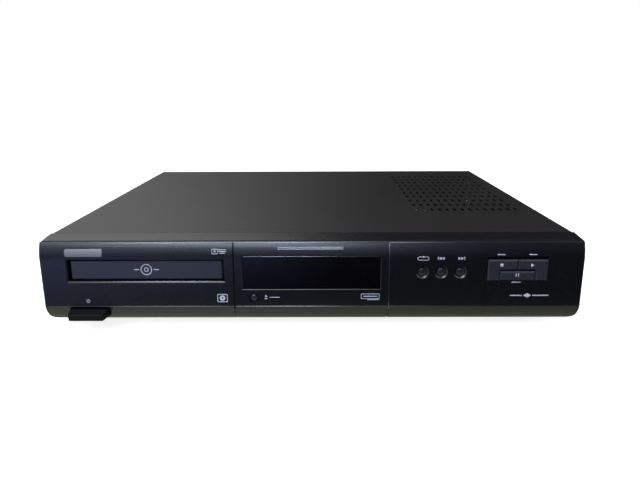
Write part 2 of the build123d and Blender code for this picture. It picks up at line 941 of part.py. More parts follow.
def make_rear_screws():
    """The screws that hold the rear panel and the cover's rear flange."""
    screws = []
    for x, z in rear_screw_places():
        seat = panel_back_y
        if z > floor_z + pan_wall:
            seat = cover_back_y
        head = bar_y(x, z, seat, seat + screw_head, screw_head_radius)
        y0, y1 = seat + slot_depth, seat + screw_head + 1
        slot = block(x - slot_reach, x + slot_reach, y0, y1, z - slot_half, z + slot_half)
        screws.append(head + bar_y(x, z, panel_front_y - 4, seat, screw_radius) - slot)
    return sum(screws[1:], screws[0])


def board_screw(x, y, z):
    return post(x, y, z, z + screw_head, screw_head_radius) + post(x, y, z - 5, z, screw_radius - 0.25)


# Disc tray and its frame

def make_tray():
    half = tray_width / 2
    y0, y1 = tray_front_y, tray_front_y + tray_length
    tray = block(tray_x - half, tray_x + half, y0, y1, tray_bottom_z, tray_top_z)
    inner = half - tray_rail
    hollow_y = y0 + tray_front_wall
    tray -= block(tray_x - inner, tray_x + inner, hollow_y, y1 + 1, tray_bottom_z - 1, tray_plate_z)
    centre = (tray_x, spindle_y)
    tray -= post(*centre, tray_top_z - disc_well_depth, tray_top_z + 1, disc_well_radius)
    tray -= post(*centre, tray_top_z - small_well_depth, tray_top_z + 1, small_well_radius)
    tray -= post(*centre, tray_bottom_z, tray_top_z + 1, slot_half_width)
    tray -= block(
        tray_x - slot_half_width, tray_x + slot_half_width, spindle_y, y1 + 1, tray_bottom_z, tray_top_z + 1
    )
    return tray + make_rack(y0 + tray_front_wall, y1 - 3, inner)


def make_rack(y0, y1, inner):
    """The toothed rack inside the tray's left rail, with a space opposite the drive gear."""
    pitch = math.pi * rack_module
    lean = math.tan(math.radians(pressure_angle))
    tip = rack_line_x + rack_module
    root = rack_line_x - 1.25 * rack_module
    half = pitch / 4 - gear_backlash / 2
    body = block(tray_x - inner - 0.5, root + 0.01, y0, y1, tray_plate_z - rack_band, tray_plate_z + 0.2)
    first = math.ceil((y0 + 1 - gear_y) / pitch - 0.5)
    last = math.floor((y1 - 1 - gear_y) / pitch - 0.5)
    teeth = Sketch()
    for k in range(first, last + 1):
        y = gear_y + (k + 0.5) * pitch
        wide = half + (rack_line_x - root) * lean
        thin = half - (tip - rack_line_x) * lean
        teeth += outline((root - 0.3, y - wide), (root - 0.3, y + wide), (root, y + wide), (tip, y + thin),
                         (tip, y - thin), (root, y - wide))
    height = rack_band + 0.2
    return body + Pos(0, 0, tray_plate_z - rack_band) * extrude(teeth, amount=height)


def gear_face(teeth, module, turn):
    """An involute spur gear, with a tooth at the angle turn, in degrees."""
    pitch_radius = teeth * module / 2
    base_radius = pitch_radius * math.cos(math.radians(pressure_angle))
    root_radius = pitch_radius - 1.25 * module
    tip_radius = pitch_radius + module
    at_pitch = math.tan(math.radians(pressure_angle)) - math.radians(pressure_angle)
    half_tooth = (math.pi * module / 2 - gear_backlash) / 2 / pitch_radius
    low_radius = max(base_radius, root_radius)
    flank = []
    for step in range(5):
        radius = low_radius + (tip_radius - low_radius) * step / 4
        roll = math.acos(base_radius / radius)
        flank.append((radius, half_tooth + at_pitch - (math.tan(roll) - roll)))
    points = []
    for tooth in range(teeth):
        middle = math.radians(turn) + 2 * math.pi * tooth / teeth
        side = [(root_radius, flank[0][1])] + flank
        low = [(r, middle - a) for r, a in side]
        high = [(r, middle + a) for r, a in reversed(side)]
        points += [(r * math.cos(a), r * math.sin(a)) for r, a in low + high]
    return outline(*points)


def gear_disc(x, y, z0, height, teeth, module, turn):
    return Pos(x, y, z0) * extrude(gear_face(teeth, module, turn), amount=height)


def make_tray_gear():
    """The pinion that drives the rack, on one hub with the wheel that the pulley's pinion drives."""
    pinion_z = tray_plate_z - rack_band - 0.2
    pinion = gear_disc(tray_gear_x, gear_y, pinion_z, rack_band - 0.3, tray_pinion_teeth, rack_module, 180)
    wheel = gear_disc(tray_gear_x, gear_y, wheel_bottom_z, wheel_height, tray_wheel_teeth, gear_module, 0)
    hub = post(tray_gear_x, gear_y, wheel_bottom_z, pinion_z + 1, rack_module * tray_pinion_teeth / 2 - 2)
    bore = post(tray_gear_x, gear_y, wheel_bottom_z - 1, tray_plate_z, axle_radius + axle_clearance)
    return pinion + wheel + hub - bore


def pulley_disc(x, radius, z0, height):
    """A belt pulley: a drum with a round groove."""
    middle = z0 + height / 2
    drum = post(x, gear_y, z0, z0 + height, radius + belt_radius)
    groove = Pos(x, gear_y, middle) * Torus(radius + belt_radius, belt_radius + belt_clearance)
    return drum - groove


def make_pulley_gear():
    """The large belt pulley with the small pinion on top of it."""
    turn = 180 + 180 / pulley_pinion_teeth
    top = wheel_bottom_z + wheel_height
    drum = pulley_disc(pulley_x, pulley_radius, pulley_bottom_z, pulley_height)
    pinion_z = pulley_bottom_z + pulley_height
    tall = top - pinion_z
    pinion = gear_disc(pulley_x, gear_y, pinion_z - 0.01, tall, pulley_pinion_teeth, gear_module, turn)
    bore = post(pulley_x, gear_y, pulley_bottom_z - 1, top + 1, axle_radius + axle_clearance)
    return drum + pinion - bore


def make_motor_pulley():
    z0, z1 = pulley_bottom_z, pulley_bottom_z + pulley_height
    drum = pulley_disc(motor_x, motor_pulley_radius, z0, pulley_height)
    return drum - post(motor_x, gear_y, z0 - 1, z1 + 1, motor_shaft_radius + shaft_gap)


def make_belt():
    """A round belt over both pulleys."""
    z = pulley_bottom_z + pulley_height / 2
    big = pulley_radius + belt_radius
    small = motor_pulley_radius + belt_radius
    lean = math.asin((big - small) / belt_span)
    bx, by = big * math.sin(lean), big * math.cos(lean)
    sx, sy = small * math.sin(lean), small * math.cos(lean)
    top_big = (pulley_x + bx, gear_y + by, z)
    top_small = (motor_x + sx, gear_y + sy, z)
    low_small = (motor_x + sx, gear_y - sy, z)
    low_big = (pulley_x + bx, gear_y - by, z)
    path = Wire([
        Line(top_big, top_small),
        ThreePointArc(top_small, (motor_x + small, gear_y, z), low_small),
        Line(low_small, low_big),
        ThreePointArc(low_big, (pulley_x - big, gear_y, z), top_big),
    ])
    section = Plane(origin=top_big, z_dir=path % 0) * Circle(belt_radius)
    return sweep(section, path=path)


def make_tray_motor():
    top = loader_floor_z
    can = post(motor_x, gear_y, top - tray_motor_height, top, tray_motor_radius)
    can = fillet(can.edges().group_by(Axis.Z)[0], 1.0)
    boss = post(motor_x, gear_y, top, top + 1.2, 3.0)
    shaft = post(motor_x, gear_y, top, pulley_bottom_z + pulley_height, motor_shaft_radius)
    return can + boss + shaft


def make_loader_frame():
    half = loader_half
    inner = half - loader_wall
    x0, x1 = tray_x - half, tray_x + half
    y0, y1 = loader_front_y, loader_back_y
    z0, z1 = loader_bottom_z, loader_top_z
    frame = block(x0, x0 + loader_wall, y0, y1, z0, z1) + block(x1 - loader_wall, x1, y0, y1, z0, z1)
    frame += block(x0, x1, y1 - loader_wall, y1, z0, tray_bottom_z - 4)
    floor_back = cam_back_y - cam_thickness - 1.5
    frame += block(x0, x1, y0, floor_back, loader_floor_z, loader_floor_z + loader_floor)
    ledge_top = tray_bottom_z - slide_gap
    lip_z = tray_top_z + slide_gap
    lip = loader_gap + lip_width
    for side in (-1, 1):
        a, b = sorted((tray_x + side * inner, tray_x + side * (inner - ledge_width)))
        frame += block(a, b, y0, y1, ledge_top - ledge_thickness, ledge_top)
        a, b = sorted((tray_x + side * inner, tray_x + side * (inner - lip)))
        frame += block(a, b, y0, y1, lip_z, z1)
    for x, y in loader_post_places():
        side = math.copysign(1, x - tray_x)
        a, b = sorted((x - side * loader_foot, tray_x + side * (inner + 1)))
        frame += block(a, b, y - loader_foot, y + loader_foot, z0, z0 + loader_foot_thickness)
        frame -= post(x, y, z0 - 1, z0 + loader_foot_thickness + 1, screw_radius + screw_hole_gap)
    top = loader_floor_z + loader_floor
    frame += post(tray_gear_x, gear_y, top - 1, tray_plate_z - 0.6, axle_radius)
    frame += post(tray_gear_x, gear_y, top - 1, wheel_bottom_z - 0.2, axle_radius + 1.5)
    frame += post(pulley_x, gear_y, top - 1, wheel_bottom_z + wheel_height + 0.4, axle_radius)
    frame += post(pulley_x, gear_y, top - 1, pulley_bottom_z - 0.2, axle_radius + 1.5)
    frame -= post(motor_x, gear_y, loader_floor_z - 1, top + 1, 3.4)
    return frame + pivot_brackets() + cam_guides()


def pivot_brackets():
    """Two ears on the frame that hold the traverse's pivot pins."""
    brackets = []
    for side in (-1, 1):
        x_in = tray_x + side * (traverse_half_width + 1.0)
        x_out = tray_x + side * (loader_half - 1)
        a, b = sorted((x_in, x_out))
        ear = block(a, b, pivot_y - ear_half, pivot_y + ear_half, loader_bottom_z, pivot_z + ear_half)
        a, b = sorted((x_in + side * ear_wall, x_out - side * ear_wall))
        ear -= block(a, b, pivot_y - 6, pivot_y + 6, loader_bottom_z + ear_wall, pivot_z + 6)
        h0, h1 = sorted((x_in - side * 1, x_in + side * (ear_wall + 1)))
        ear -= bar_x(pivot_y, pivot_z, h0, h1, pivot_radius + axle_clearance)
        brackets.append(ear)
    return brackets[0] + brackets[1]


def cam_guides():
    """A channel across the frame's front half in which the lift cam slides."""
    y1 = cam_back_y + slide_gap
    y0 = cam_back_y - cam_thickness - slide_gap
    wall = guide_rail_wall
    bottom = cam_bottom_z()
    reach = loader_half - 1
    rail = block(tray_x - reach, tray_x + reach, y0 - wall, y1 + wall, bottom - 3, bottom - slide_gap)
    rail += block(tray_x - reach, tray_x + reach, y0 - wall, y0, bottom - 1, loader_floor_z + 1)
    walls = []
    for side in (-1, 1):
        outer, inner = loader_half - 0.5, loader_half - loader_wall + 0.5
        a, b = sorted((tray_x + side * outer, tray_x + side * inner))
        walls.append(block(a, b, y0 - wall, y1 + wall, bottom - 3, loader_bottom_z + 2))
    return rail + walls[0] + walls[1]


def cam_bottom_z():
    return lift_pin_z + cam_above_pin - cam_height


def make_clamp_bridge():
    half = loader_half
    z0 = loader_top_z
    y0, y1 = spindle_y - clamp_half_depth, spindle_y + clamp_half_depth
    bridge = block(tray_x - half, tray_x + half, y0, y1, z0, z0 + clamp_plate)
    bridge = fillet(bridge.edges().filter_by(Axis.Z), 4)
    bridge += post(tray_x, spindle_y, z0, z0 + clamp_plate, clamp_flange_radius + 3)
    ridge = block(tray_x - half + 10, tray_x + half - 10, y0 + 2, y0 + 4, z0, z0 + clamp_plate + 3)
    bridge += ridge + Pos(0, y1 - y0 - 6, 0) * ridge
    return bridge - post(tray_x, spindle_y, z0 - 1, z0 + clamp_plate + 1, clamp_hole_radius)


def make_clamp_puck():
    """The clamping disc: it hangs in the bridge by its upper flange."""
    top = loader_top_z + clamp_plate + slide_gap
    low = loader_top_z - slide_gap - clamp_disc_thickness
    puck = post(tray_x, spindle_y, low, low + clamp_disc_thickness, clamp_disc_radius)
    puck += post(tray_x, spindle_y, low, top + 0.1, clamp_neck_radius)
    puck += post(tray_x, spindle_y, top, top + clamp_flange_thickness, clamp_flange_radius)
    return puck - post(tray_x, spindle_y, low - 1, turntable_z + hub_height + 0.9, clamp_recess_radius)


# Traverse with the disc motor and the optical pickup

def make_traverse():
    half = traverse_half_width
    z1 = traverse_top_z
    z0 = z1 - traverse_sheet
    plate = block(tray_x - half, tray_x + half, traverse_front_y, traverse_back_y, z0, z1)
    plate = fillet(plate.edges().filter_by(Axis.Z), 3)
    w = traverse_window_half
    y0, y1 = spindle_y + traverse_window_start, spindle_y + traverse_window_end
    plate -= block(tray_x - w, tray_x + w, y0, y1, z0 - 1, z1 + 1)
    plate -= post(tray_x, spindle_y, z0 - 1, z1 + 1, spindle_motor_radius - 3)
    for side in (-1, 1):
        a, b = sorted((tray_x + side * (half - 4), tray_x + side * half))
        plate += block(a, b, traverse_back_y - 8, pivot_y + 3.5, pivot_z - 3.5, z1)
        a, b = sorted((tray_x + side * (half - 1), tray_x + side * (half + 4)))
        plate += bar_x(pivot_y, pivot_z, a, b, pivot_radius)
        for y in (y0 - 2.5, y1 + 2.5):
            x = tray_x + side * rod_spread
            plate += block(x - 3, x + 3, y - 2, y + 2, z1 - 0.5, rod_z + rod_radius + 1)
            plate -= bar_y(x, rod_z, y - 3, y + 3, rod_radius)
    plate += block(tray_x - 5, tray_x + 5, traverse_front_y, traverse_front_y + 3, lift_pin_z - 3, z1)
    pin_end = cam_back_y - cam_thickness + pin_inset
    plate += bar_y(tray_x, lift_pin_z, pin_end, traverse_front_y + 1, lift_pin_radius)
    return plate + lead_bearings() - lead_bores()


def lead_x():
    return tray_x + lead_offset


def lead_ends():
    return spindle_y + traverse_window_start + 2, spindle_y + traverse_window_end - 2


def lead_bearings():
    y0, y1 = lead_ends()
    x = lead_x()
    top = rod_z + lead_radius + 1.5
    front = block(x - 3, x + 3, y0 - 4, y0, traverse_top_z - 0.5, top)
    return front + block(x - 3, x + 3, y1, y1 + 4, traverse_top_z - 0.5, top)


def lead_bores():
    y0, y1 = lead_ends()
    return bar_y(lead_x(), rod_z, y0 - 5, y1 + 5, lead_radius + axle_clearance)


def make_guide_rods():
    y0 = spindle_y + traverse_window_start - 4.5
    y1 = spindle_y + traverse_window_end + 4.5
    rods = [bar_y(tray_x + side * rod_spread, rod_z, y0, y1, rod_radius) for side in (-1, 1)]
    return rods[0] + rods[1]


def make_lead_screw():
    """The screw that moves the pickup, with a groove cut round it once for each turn of its thread."""
    y0, y1 = lead_ends()
    screw = bar_y(lead_x(), rod_z, y0 - 4, y1 + 4 + 5, lead_radius)
    turns = int((y1 - y0) / lead_pitch)
    for turn in range(turns):
        y = y0 + (turn + 0.5) * lead_pitch
        ring = bar_y(lead_x(), rod_z, y - thread_half, y + thread_half, lead_radius + 1)
        screw -= ring - bar_y(lead_x(), rod_z, y - thread_half, y + thread_half, lead_radius - thread_depth)
    return screw


def make_sled_motor():
    y0 = lead_ends()[1] + 4 + 2.6
    x = lead_x()
    low = traverse_top_z
    can = bar_y(x, rod_z, y0, y0 + sled_motor_length, sled_motor_radius)
    can -= block(x - 10, x + 10, y0 - 1, y0 + sled_motor_length + 1, low - 10, low)
    return can - bar_y(x, rod_z, y0 - 1, y0 + 4, lead_radius + axle_clearance)


def make_sled():
    """The optical pickup's body, riding on the two rods and driven by the lead screw."""
    y0 = spindle_y + sled_inner_radius - sled_length / 2
    y1 = y0 + sled_length
    half = sled_width / 2
    sled = block(tray_x - half, tray_x + half, y0, y1, sled_bottom_z, sled_top_z)
    for side in (-1, 1):
        x = tray_x + side * rod_spread
        a, b = sorted((tray_x + side * (half - 1), x + side * 2.6))
        sled += block(a, b, y0 + 2, y1 - 2, sled_bottom_z, rod_z + rod_radius + 1.4)
        sled -= bar_y(x, rod_z, y0, y1, rod_radius + axle_clearance)
    sled += block(
        tray_x - head_half_width, tray_x + head_half_width, y0 + 4, y1 - 4, sled_top_z - 1, head_top_z
    )
    y_mid = (y0 + y1) / 2
    nut_x = tray_x + rod_spread + 2
    nut = block(nut_x, lead_x() - lead_radius - 0.15, y_mid - 2, y_mid + 2, rod_z - 1, rod_z + 1.5)
    sled = sled + nut
    sled -= post(tray_x, y_mid, head_top_z - 2, head_top_z + 1, lens_radius + 0.6)
    return fillet(sled.edges().filter_by(Axis.Z).group_by(Axis.X)[0], 0.6)


def make_lens():
    y_mid = spindle_y + sled_inner_radius
    lens = post(tray_x, y_mid, head_top_z - 2, head_top_z + lens_height - 0.5, lens_radius)
    top = head_top_z + lens_height
    ball = Pos(tray_x, y_mid, top - 2.7) * Sphere(3.0)
    cap = ball & post(tray_x, y_mid, top - 0.6, top + 1, lens_radius - 0.6)
    return lens + cap


def make_spindle_motor():
    z1 = traverse_top_z - traverse_sheet
    can = post(tray_x, spindle_y, z1 - spindle_motor_height, z1, spindle_motor_radius)
    can = fillet(can.edges().group_by(Axis.Z)[0], 0.8)
    neck = post(tray_x, spindle_y, z1, turntable_z - turntable_sheet - 4.3, spindle_motor_radius - 3.5)
    shaft_top = turntable_z - 0.3
    return can + neck + post(tray_x, spindle_y, z1, shaft_top, spindle_shaft_radius)


def make_turntable():
    """The disc table with its centring cone, turning on the motor's shaft."""
    z0 = turntable_z - turntable_sheet
    table = post(tray_x, spindle_y, z0, turntable_z, turntable_radius)
    table += post(tray_x, spindle_y, z0 - 4, z0 + 0.1, 4.5)
    hub = post(tray_x, spindle_y, turntable_z - 0.1, turntable_z + hub_height, hub_radius)
    hub = chamfer(hub.edges().group_by(Axis.Z)[-1], 1.2)
    groove = post(tray_x, spindle_y, turntable_z - 0.4, turntable_z + 1, turntable_radius - 1)
    groove -= post(tray_x, spindle_y, turntable_z - 1, turntable_z + 2, turntable_radius - 4.5)
    bore = post(tray_x, spindle_y, z0 - 5, turntable_z, spindle_shaft_radius + shaft_gap)
    return table + hub - groove - bore


def make_lift_cam():
    """The sliding plate whose sloping slot lowers and lifts the traverse's front pin."""
    y1 = cam_back_y
    y0 = y1 - cam_thickness
    z0 = cam_bottom_z()
    z1 = lift_pin_z + lift_pin_radius + cam_slot_gap + 1.5
    cam = block(tray_x - cam_half_width, tray_x + cam_half_width - cam_travel, y0, y1, z0, z1)
    slot_radius = lift_pin_radius + cam_slot_gap
    start = (tray_x, lift_pin_z)
    end = (tray_x - cam_travel, lift_pin_z - lift_drop)
    middle = ((start[0] + end[0]) / 2, (start[1] + end[1]) / 2)
    run = math.hypot(cam_travel, lift_drop)
    angle = math.degrees(math.atan2(lift_drop, cam_travel))
    slot = Pos(*middle) * SlotCenterToCenter(run, 2 * slot_radius, rotation=angle)
    return cam - front_prism(slot, y0 - 1, y1 + 1)


# Circuit boards and what stands on them

def make_front_board():
    left = open_button_x - front_board_edge
    right = key_block_x + key_block_width / 2 + front_board_edge
    board = block(left, right, front_board_y, front_board_y + board_sheet, floor_z + 4, top_z - 7)
    return board


def make_switches():
    switches = []
    for x, z in switch_places():
        y1 = front_board_y
        half = tact_body / 2
        body = block(x - half, x + half, y1 - tact_height, y1, z - half, z + half)
        body = chamfer(body.edges().filter_by(Axis.Y), 0.6)
        plunger = bar_y(x, z, y1 - tact_height - tact_plunger, y1 - tact_height + 0.1, tact_plunger_radius)
        switches.append(body + plunger)
    return sum(switches[1:], switches[0])


def make_display_tube():
    y1 = front_board_y - 1.0
    half = tube_width / 2
    tall = tube_height / 2
    tube = block(-half, half, y1 - tube_thickness, y1, window_middle_z - tall, window_middle_z + tall)
    tube = chamfer(tube.faces().sort_by(Axis.Y)[0].edges(), 0.8)
    for x in (-half + 6, half - 6):
        tube += block(x - 3, x + 3, y1 - 0.5, front_board_y, window_middle_z - 6, window_middle_z + 6)
    return tube


def make_main_board():
    y0 = cover_front_y + main_front
    y1 = panel_front_y - board_back_gap
    board = block(main_left, main_right, y0, y1, board_z, board_z + board_sheet)
    for x, y in standoff_places()[:4]:
        board -= post(x, y, board_z - 1, board_z + board_sheet + 1, screw_radius)
    return board


def chip(x, y, wide, deep, tall):
    z = board_z + board_sheet
    body = block(x - wide / 2, x + wide / 2, y - deep / 2, y + deep / 2, z + 0.3, z + 0.3 + tall)
    body = chamfer(body.edges().group_by(Axis.Z)[-1], 0.4)
    reach = wide / 2 + chip_lead
    lead = block(x - reach, x + reach, y - deep / 2 + 1, y + deep / 2 - 1, z, z + 0.7)
    return body + lead


def make_chips():
    x0 = main_left
    y0 = cover_front_y + main_front
    chips = [chip(x0 + dx, y0 + dy, wide, deep, tall) for dx, dy, wide, deep, tall in chip_places]
    return sum(chips[1:], chips[0])


def make_supply_board():
    y0, y1 = cover_front_y + supply_front, cover_front_y + supply_back
    board = block(supply_left, supply_right, y0, y1, board_z, board_z + board_sheet)
    for x, y in standoff_places()[4:]:
        board -= post(x, y, board_z - 1, board_z + board_sheet + 1, screw_radius)
    return board


def supply_top():
    return board_z + board_sheet


def supply_point(place):
    """A place on the supply board's upper face, from offsets to the board's front left corner."""
    return supply_left + place[0], cover_front_y + supply_front + place[1], supply_top()


def make_transformer():
    x, y, z = supply_point(transformer_place)
    half = transformer_half
    low, high = z + transformer_rise, z + transformer_rise + transformer_height
    core = block(x - half, x + half, y - half + 2, y + half - 2, low, high)
    coil = block(x - half + 5, x + half - 5, y - half - 3, y + half + 3, low + 1.5, high - 1.5)
    coil = fillet(coil.edges().filter_by(Axis.X), 3)
    base = block(x - half, x + half, y - half - 1, y + half + 1, z, low + 0.2)
    return core + coil + base


def make_capacitors():
    y0 = cover_front_y + supply_front
    z = supply_top()
    cans = []
    for dx, dy, radius, tall in capacitor_places:
        can = post(supply_left + dx, y0 + dy, z, z + tall, radius)
        cans.append(fillet(can.edges().group_by(Axis.Z)[-1], 0.8))
    return sum(cans[1:], cans[0])


def make_heat_sink():
    x, y, z = supply_point(sink_place)
    half = sink_width / 2
    sheet = sink_sheet / 2
    sink = block(x - half, x + half, y - sheet, y + sheet, z, z + sink_height)
    pitch = (sink_width - 5) / (sink_fins - 1)
    for k in range(sink_fins):
        fin_x = x + (k - (sink_fins - 1) / 2) * pitch
        sink += block(fin_x - 0.8, fin_x + 0.8, y - 1, y + sink_fin_reach, z + 3, z + sink_height)
    return sink


def make_choke():
    """The mains filter's choke: a wound core on a small base."""
    x, y, z = supply_point(choke_place)
    half = choke_half
    base = block(x - half - 1, x + half + 1, y - half - 2, y + half + 2, z, z + 2)
    core = block(x - half, x + half, y - half - 1, y + half + 1, z + 1.9, z + choke_height)
    window = block(x - half - 1, x + half + 1, y - 4, y + 4, z + 6.5, z + choke_height - 4.5)
    coils = block(x - 6, x + 6, y - 9, y - 2.5, z + 5, z + 15)
    coils += block(x - 6, x + 6, y + 2.5, y + 9, z + 5, z + 15)
    return base + core - window + coils


def make_fuse():
    """The mains fuse in its two clips."""
    x, y, z = supply_point(fuse_place)
    middle = z + fuse_rise
    fuse = bar_x(y, middle, x - fuse_half, x + fuse_half, fuse_radius)
    for end in (-1, 1):
        a, b = sorted((x + end * fuse_half, x + end * fuse_half / 2))
        fuse += bar_x(y, middle, a, b, fuse_radius + fuse_cap)
        fuse += block(a, b, y - fuse_radius - 0.8, y + fuse_radius + 0.8, z, middle)
    return fuse


def make_receiver():
    """The remote control receiver behind the window's right end."""
    y1 = front_board_y
    x = (tube_width / 2 + window_width / 2 - window_frame) / 2
    z = window_middle_z - 4
    half = 2.6
    body = block(x - half, x + half, y1 - 4.0, y1, z - half, z + half)
    return body + bar_y(x, z, y1 - 5.6, y1 - 3.9, half - 0.5)


# Rear sockets

def jack_places():
    return [(x, z) for x in jack_x for z in jack_z]


def make_jacks():
    """The phono jacks, in one block that stands on the main board."""
    half = jack_block / 2
    tip = jack_tip_y
    y1 = panel_front_y - rear_lip_gap
    y0 = jack_block_y
    jacks = block(jack_x[0] - half, jack_x[-1] + half, y0, y1, board_z + board_sheet, jack_z[-1] + half)
    for x, z in jack_places():
        jacks += bar_y(x, z, y1 - 1, tip, jack_radius)
        jacks -= bar_y(x, z, y0 - 1, tip + 1, jack_bore_radius)
    return jacks


def scart_mouth(grow):
    """The socket's mouth: a rectangle with one corner cut off."""
    w = scart_mouth_width / 2 + grow
    h = scart_mouth_height / 2 + grow
    return outline((-w, -h), (w, -h), (w, h - scart_key), (w - scart_key, h), (-w, h))


def make_scart():
    """The 21-pin socket, on two legs that stand on the main board."""
    tip = panel_back_y + scart_reach
    y0 = tip - scart_body_depth
    half = scart_width / 2
    tall = scart_height / 2
    socket = block(scart_x - half, scart_x + half, y0, tip, scart_z - tall, scart_z + tall)
    for side in (-1, 1):
        a, b = sorted((scart_x + side * half, scart_x + side * (half - scart_leg)))
        socket += block(a, b, y0, y0 + 2 * scart_leg, board_z + board_sheet, scart_z)
    ring = Pos(scart_x, scart_z) * (scart_mouth(0) - scart_mouth(-scart_ring))
    socket -= front_prism(ring, tip - scart_depth, tip + 1)
    for row in (-1, 1):
        for k in range(scart_contact_rows):
            x = scart_x + (k - (scart_contact_rows - 1) / 2) * scart_contact_pitch - scart_contact_shift
            z = scart_z + row * scart_contact_rise
            socket -= block(x - 0.5, x + 0.5, tip - scart_depth, tip + 1, z - 1.3, z + 1.3)
    return socket


def make_inlet():
    """A two-pin mains inlet, fixed in the rear panel."""
    w, h = inlet_half_width, inlet_half_height
    wall = inlet_wall
    y1 = panel_back_y + 1.5
    y0 = y1 - inlet_depth - 3
    body = block(inlet_x - w - wall, inlet_x + w + wall, y0, y1, inlet_z - h - wall, inlet_z + h + wall)
    flange = block(
        inlet_x - w - wall - inlet_flange, inlet_x + w + wall + inlet_flange, panel_back_y, y1,
        inlet_z - h - wall - inlet_flange, inlet_z + h + wall + inlet_flange,
    )
    flange = fillet(flange.edges().filter_by(Axis.Y), 2)
    mouth = Pos(inlet_x, inlet_z) * RectangleRounded(2 * w, 2 * h, h - 0.2)
    inlet = body + flange - front_prism(mouth, y1 - inlet_depth, y1 + 1)
    for side in (-1, 1):
        x = inlet_x + side * inlet_pin_spread
        pin = bar_y(x, inlet_z, y1 - inlet_depth - 1, y1 - inlet_depth + inlet_pin_length, inlet_pin_radius)
        inlet += pin
        inlet += block(x - 1.5, x + 1.5, y0 - 5, y0 + 1, inlet_z - 0.4, inlet_z + 0.4)
    return inlet


def make_mains_switch():
    y0 = switch_front_y()
    top = crease_z - strip_step - 2 * power_gap
    z = top - power_block_height() / 2
    body = block(power_x - 7, power_x + 7, y0, y0 + 20, base_z + front_wall + 0.6, z + 6)
    body += block(power_x - 7, power_x + 7, cover_front_y + 1, y0 + 20, floor_z, z)
    bore = bar_y(power_x, z, y0 - 1, y0 + 2 * power_travel + 4 + 1, 2.0 + slide_gap)
    return body - bore


def strip(points, thickness, x0, x1):
    """A flat ribbon cable: a bent line in Y and Z with a thickness, run across X."""
    upper = [(y, z + thickness) for y, z in reversed(points)]
    return side_prism(outline(*points, *upper), x0, x1)


def make_front_ribbon():
    """The flat cable from the front board down to the main board, with a plug at each end."""
    y0 = front_board_y + board_sheet
    y1 = cover_front_y + main_front + 6
    z = board_z + board_sheet + 3
    x0 = main_left + ribbon_inset
    x1 = x0 + ribbon_width
    points = [(y0, z + 16), (y0 + 8, z + 16), (y0 + 26, z + 9), (y1 - 26, z + 4), (y1 - 8, z), (y1, z)]
    ribbon = strip(points, ribbon_sheet, x0, x1)
    low = block(x0 - 2, x1 + 2, y1 - 5, y1 + 3, z - 3, z + 4)
    high = block(x0 - 2, x1 + 2, y0, y0 + 4, z + 13, z + 19)
    return ribbon + low + high


def make_loader_ribbon():
    x0 = tray_x + loader_half
    x1 = main_left + 10
    y = loader_back_y - 30
    z = board_z + board_sheet
    start_z = loader_bottom_z + 6
    low = [(x1, z + 3), (x1 - 6, z + 3), (x0 + 4, start_z), (x0, start_z)]
    high = [(x, h + ribbon_sheet) for x, h in reversed(low)]
    ribbon = front_prism(outline(*low, *high), y, y + 20)
    plug = block(x1 - 2, x1 + 4, y - 2, y + 22, z, z + 7)
    return ribbon + plug


def make_board_screws():
    z = board_z + board_sheet
    screws = [board_screw(x, y, z) for x, y in standoff_places()]
    return sum(screws[1:], screws[0])


def make_loader_screws():
    z = loader_bottom_z + loader_foot_thickness
    screws = [board_screw(x, y, z) for x, y in loader_post_places()]
    return sum(screws[1:], screws[0])


def make_tray_door():
    """The door on the tray's front, set back in the opening and leaning like the face."""
    half = door_width / 2
    tall = door_height / 2
    z = opening_middle_z
    leaning = face_plane(tray_x, z).offset(-door_recess)
    slab = extrude(leaning * Rectangle(door_width, door_height), amount=-door_thickness - 3)
    slab = slab & block(
        tray_x - half, tray_x + half, crease_y - 5, tray_front_y - 0.02, z - tall, z + tall
    )
    return chamfer(slab.faces().sort_by(Axis.Y)[0].edges(), door_bevel)


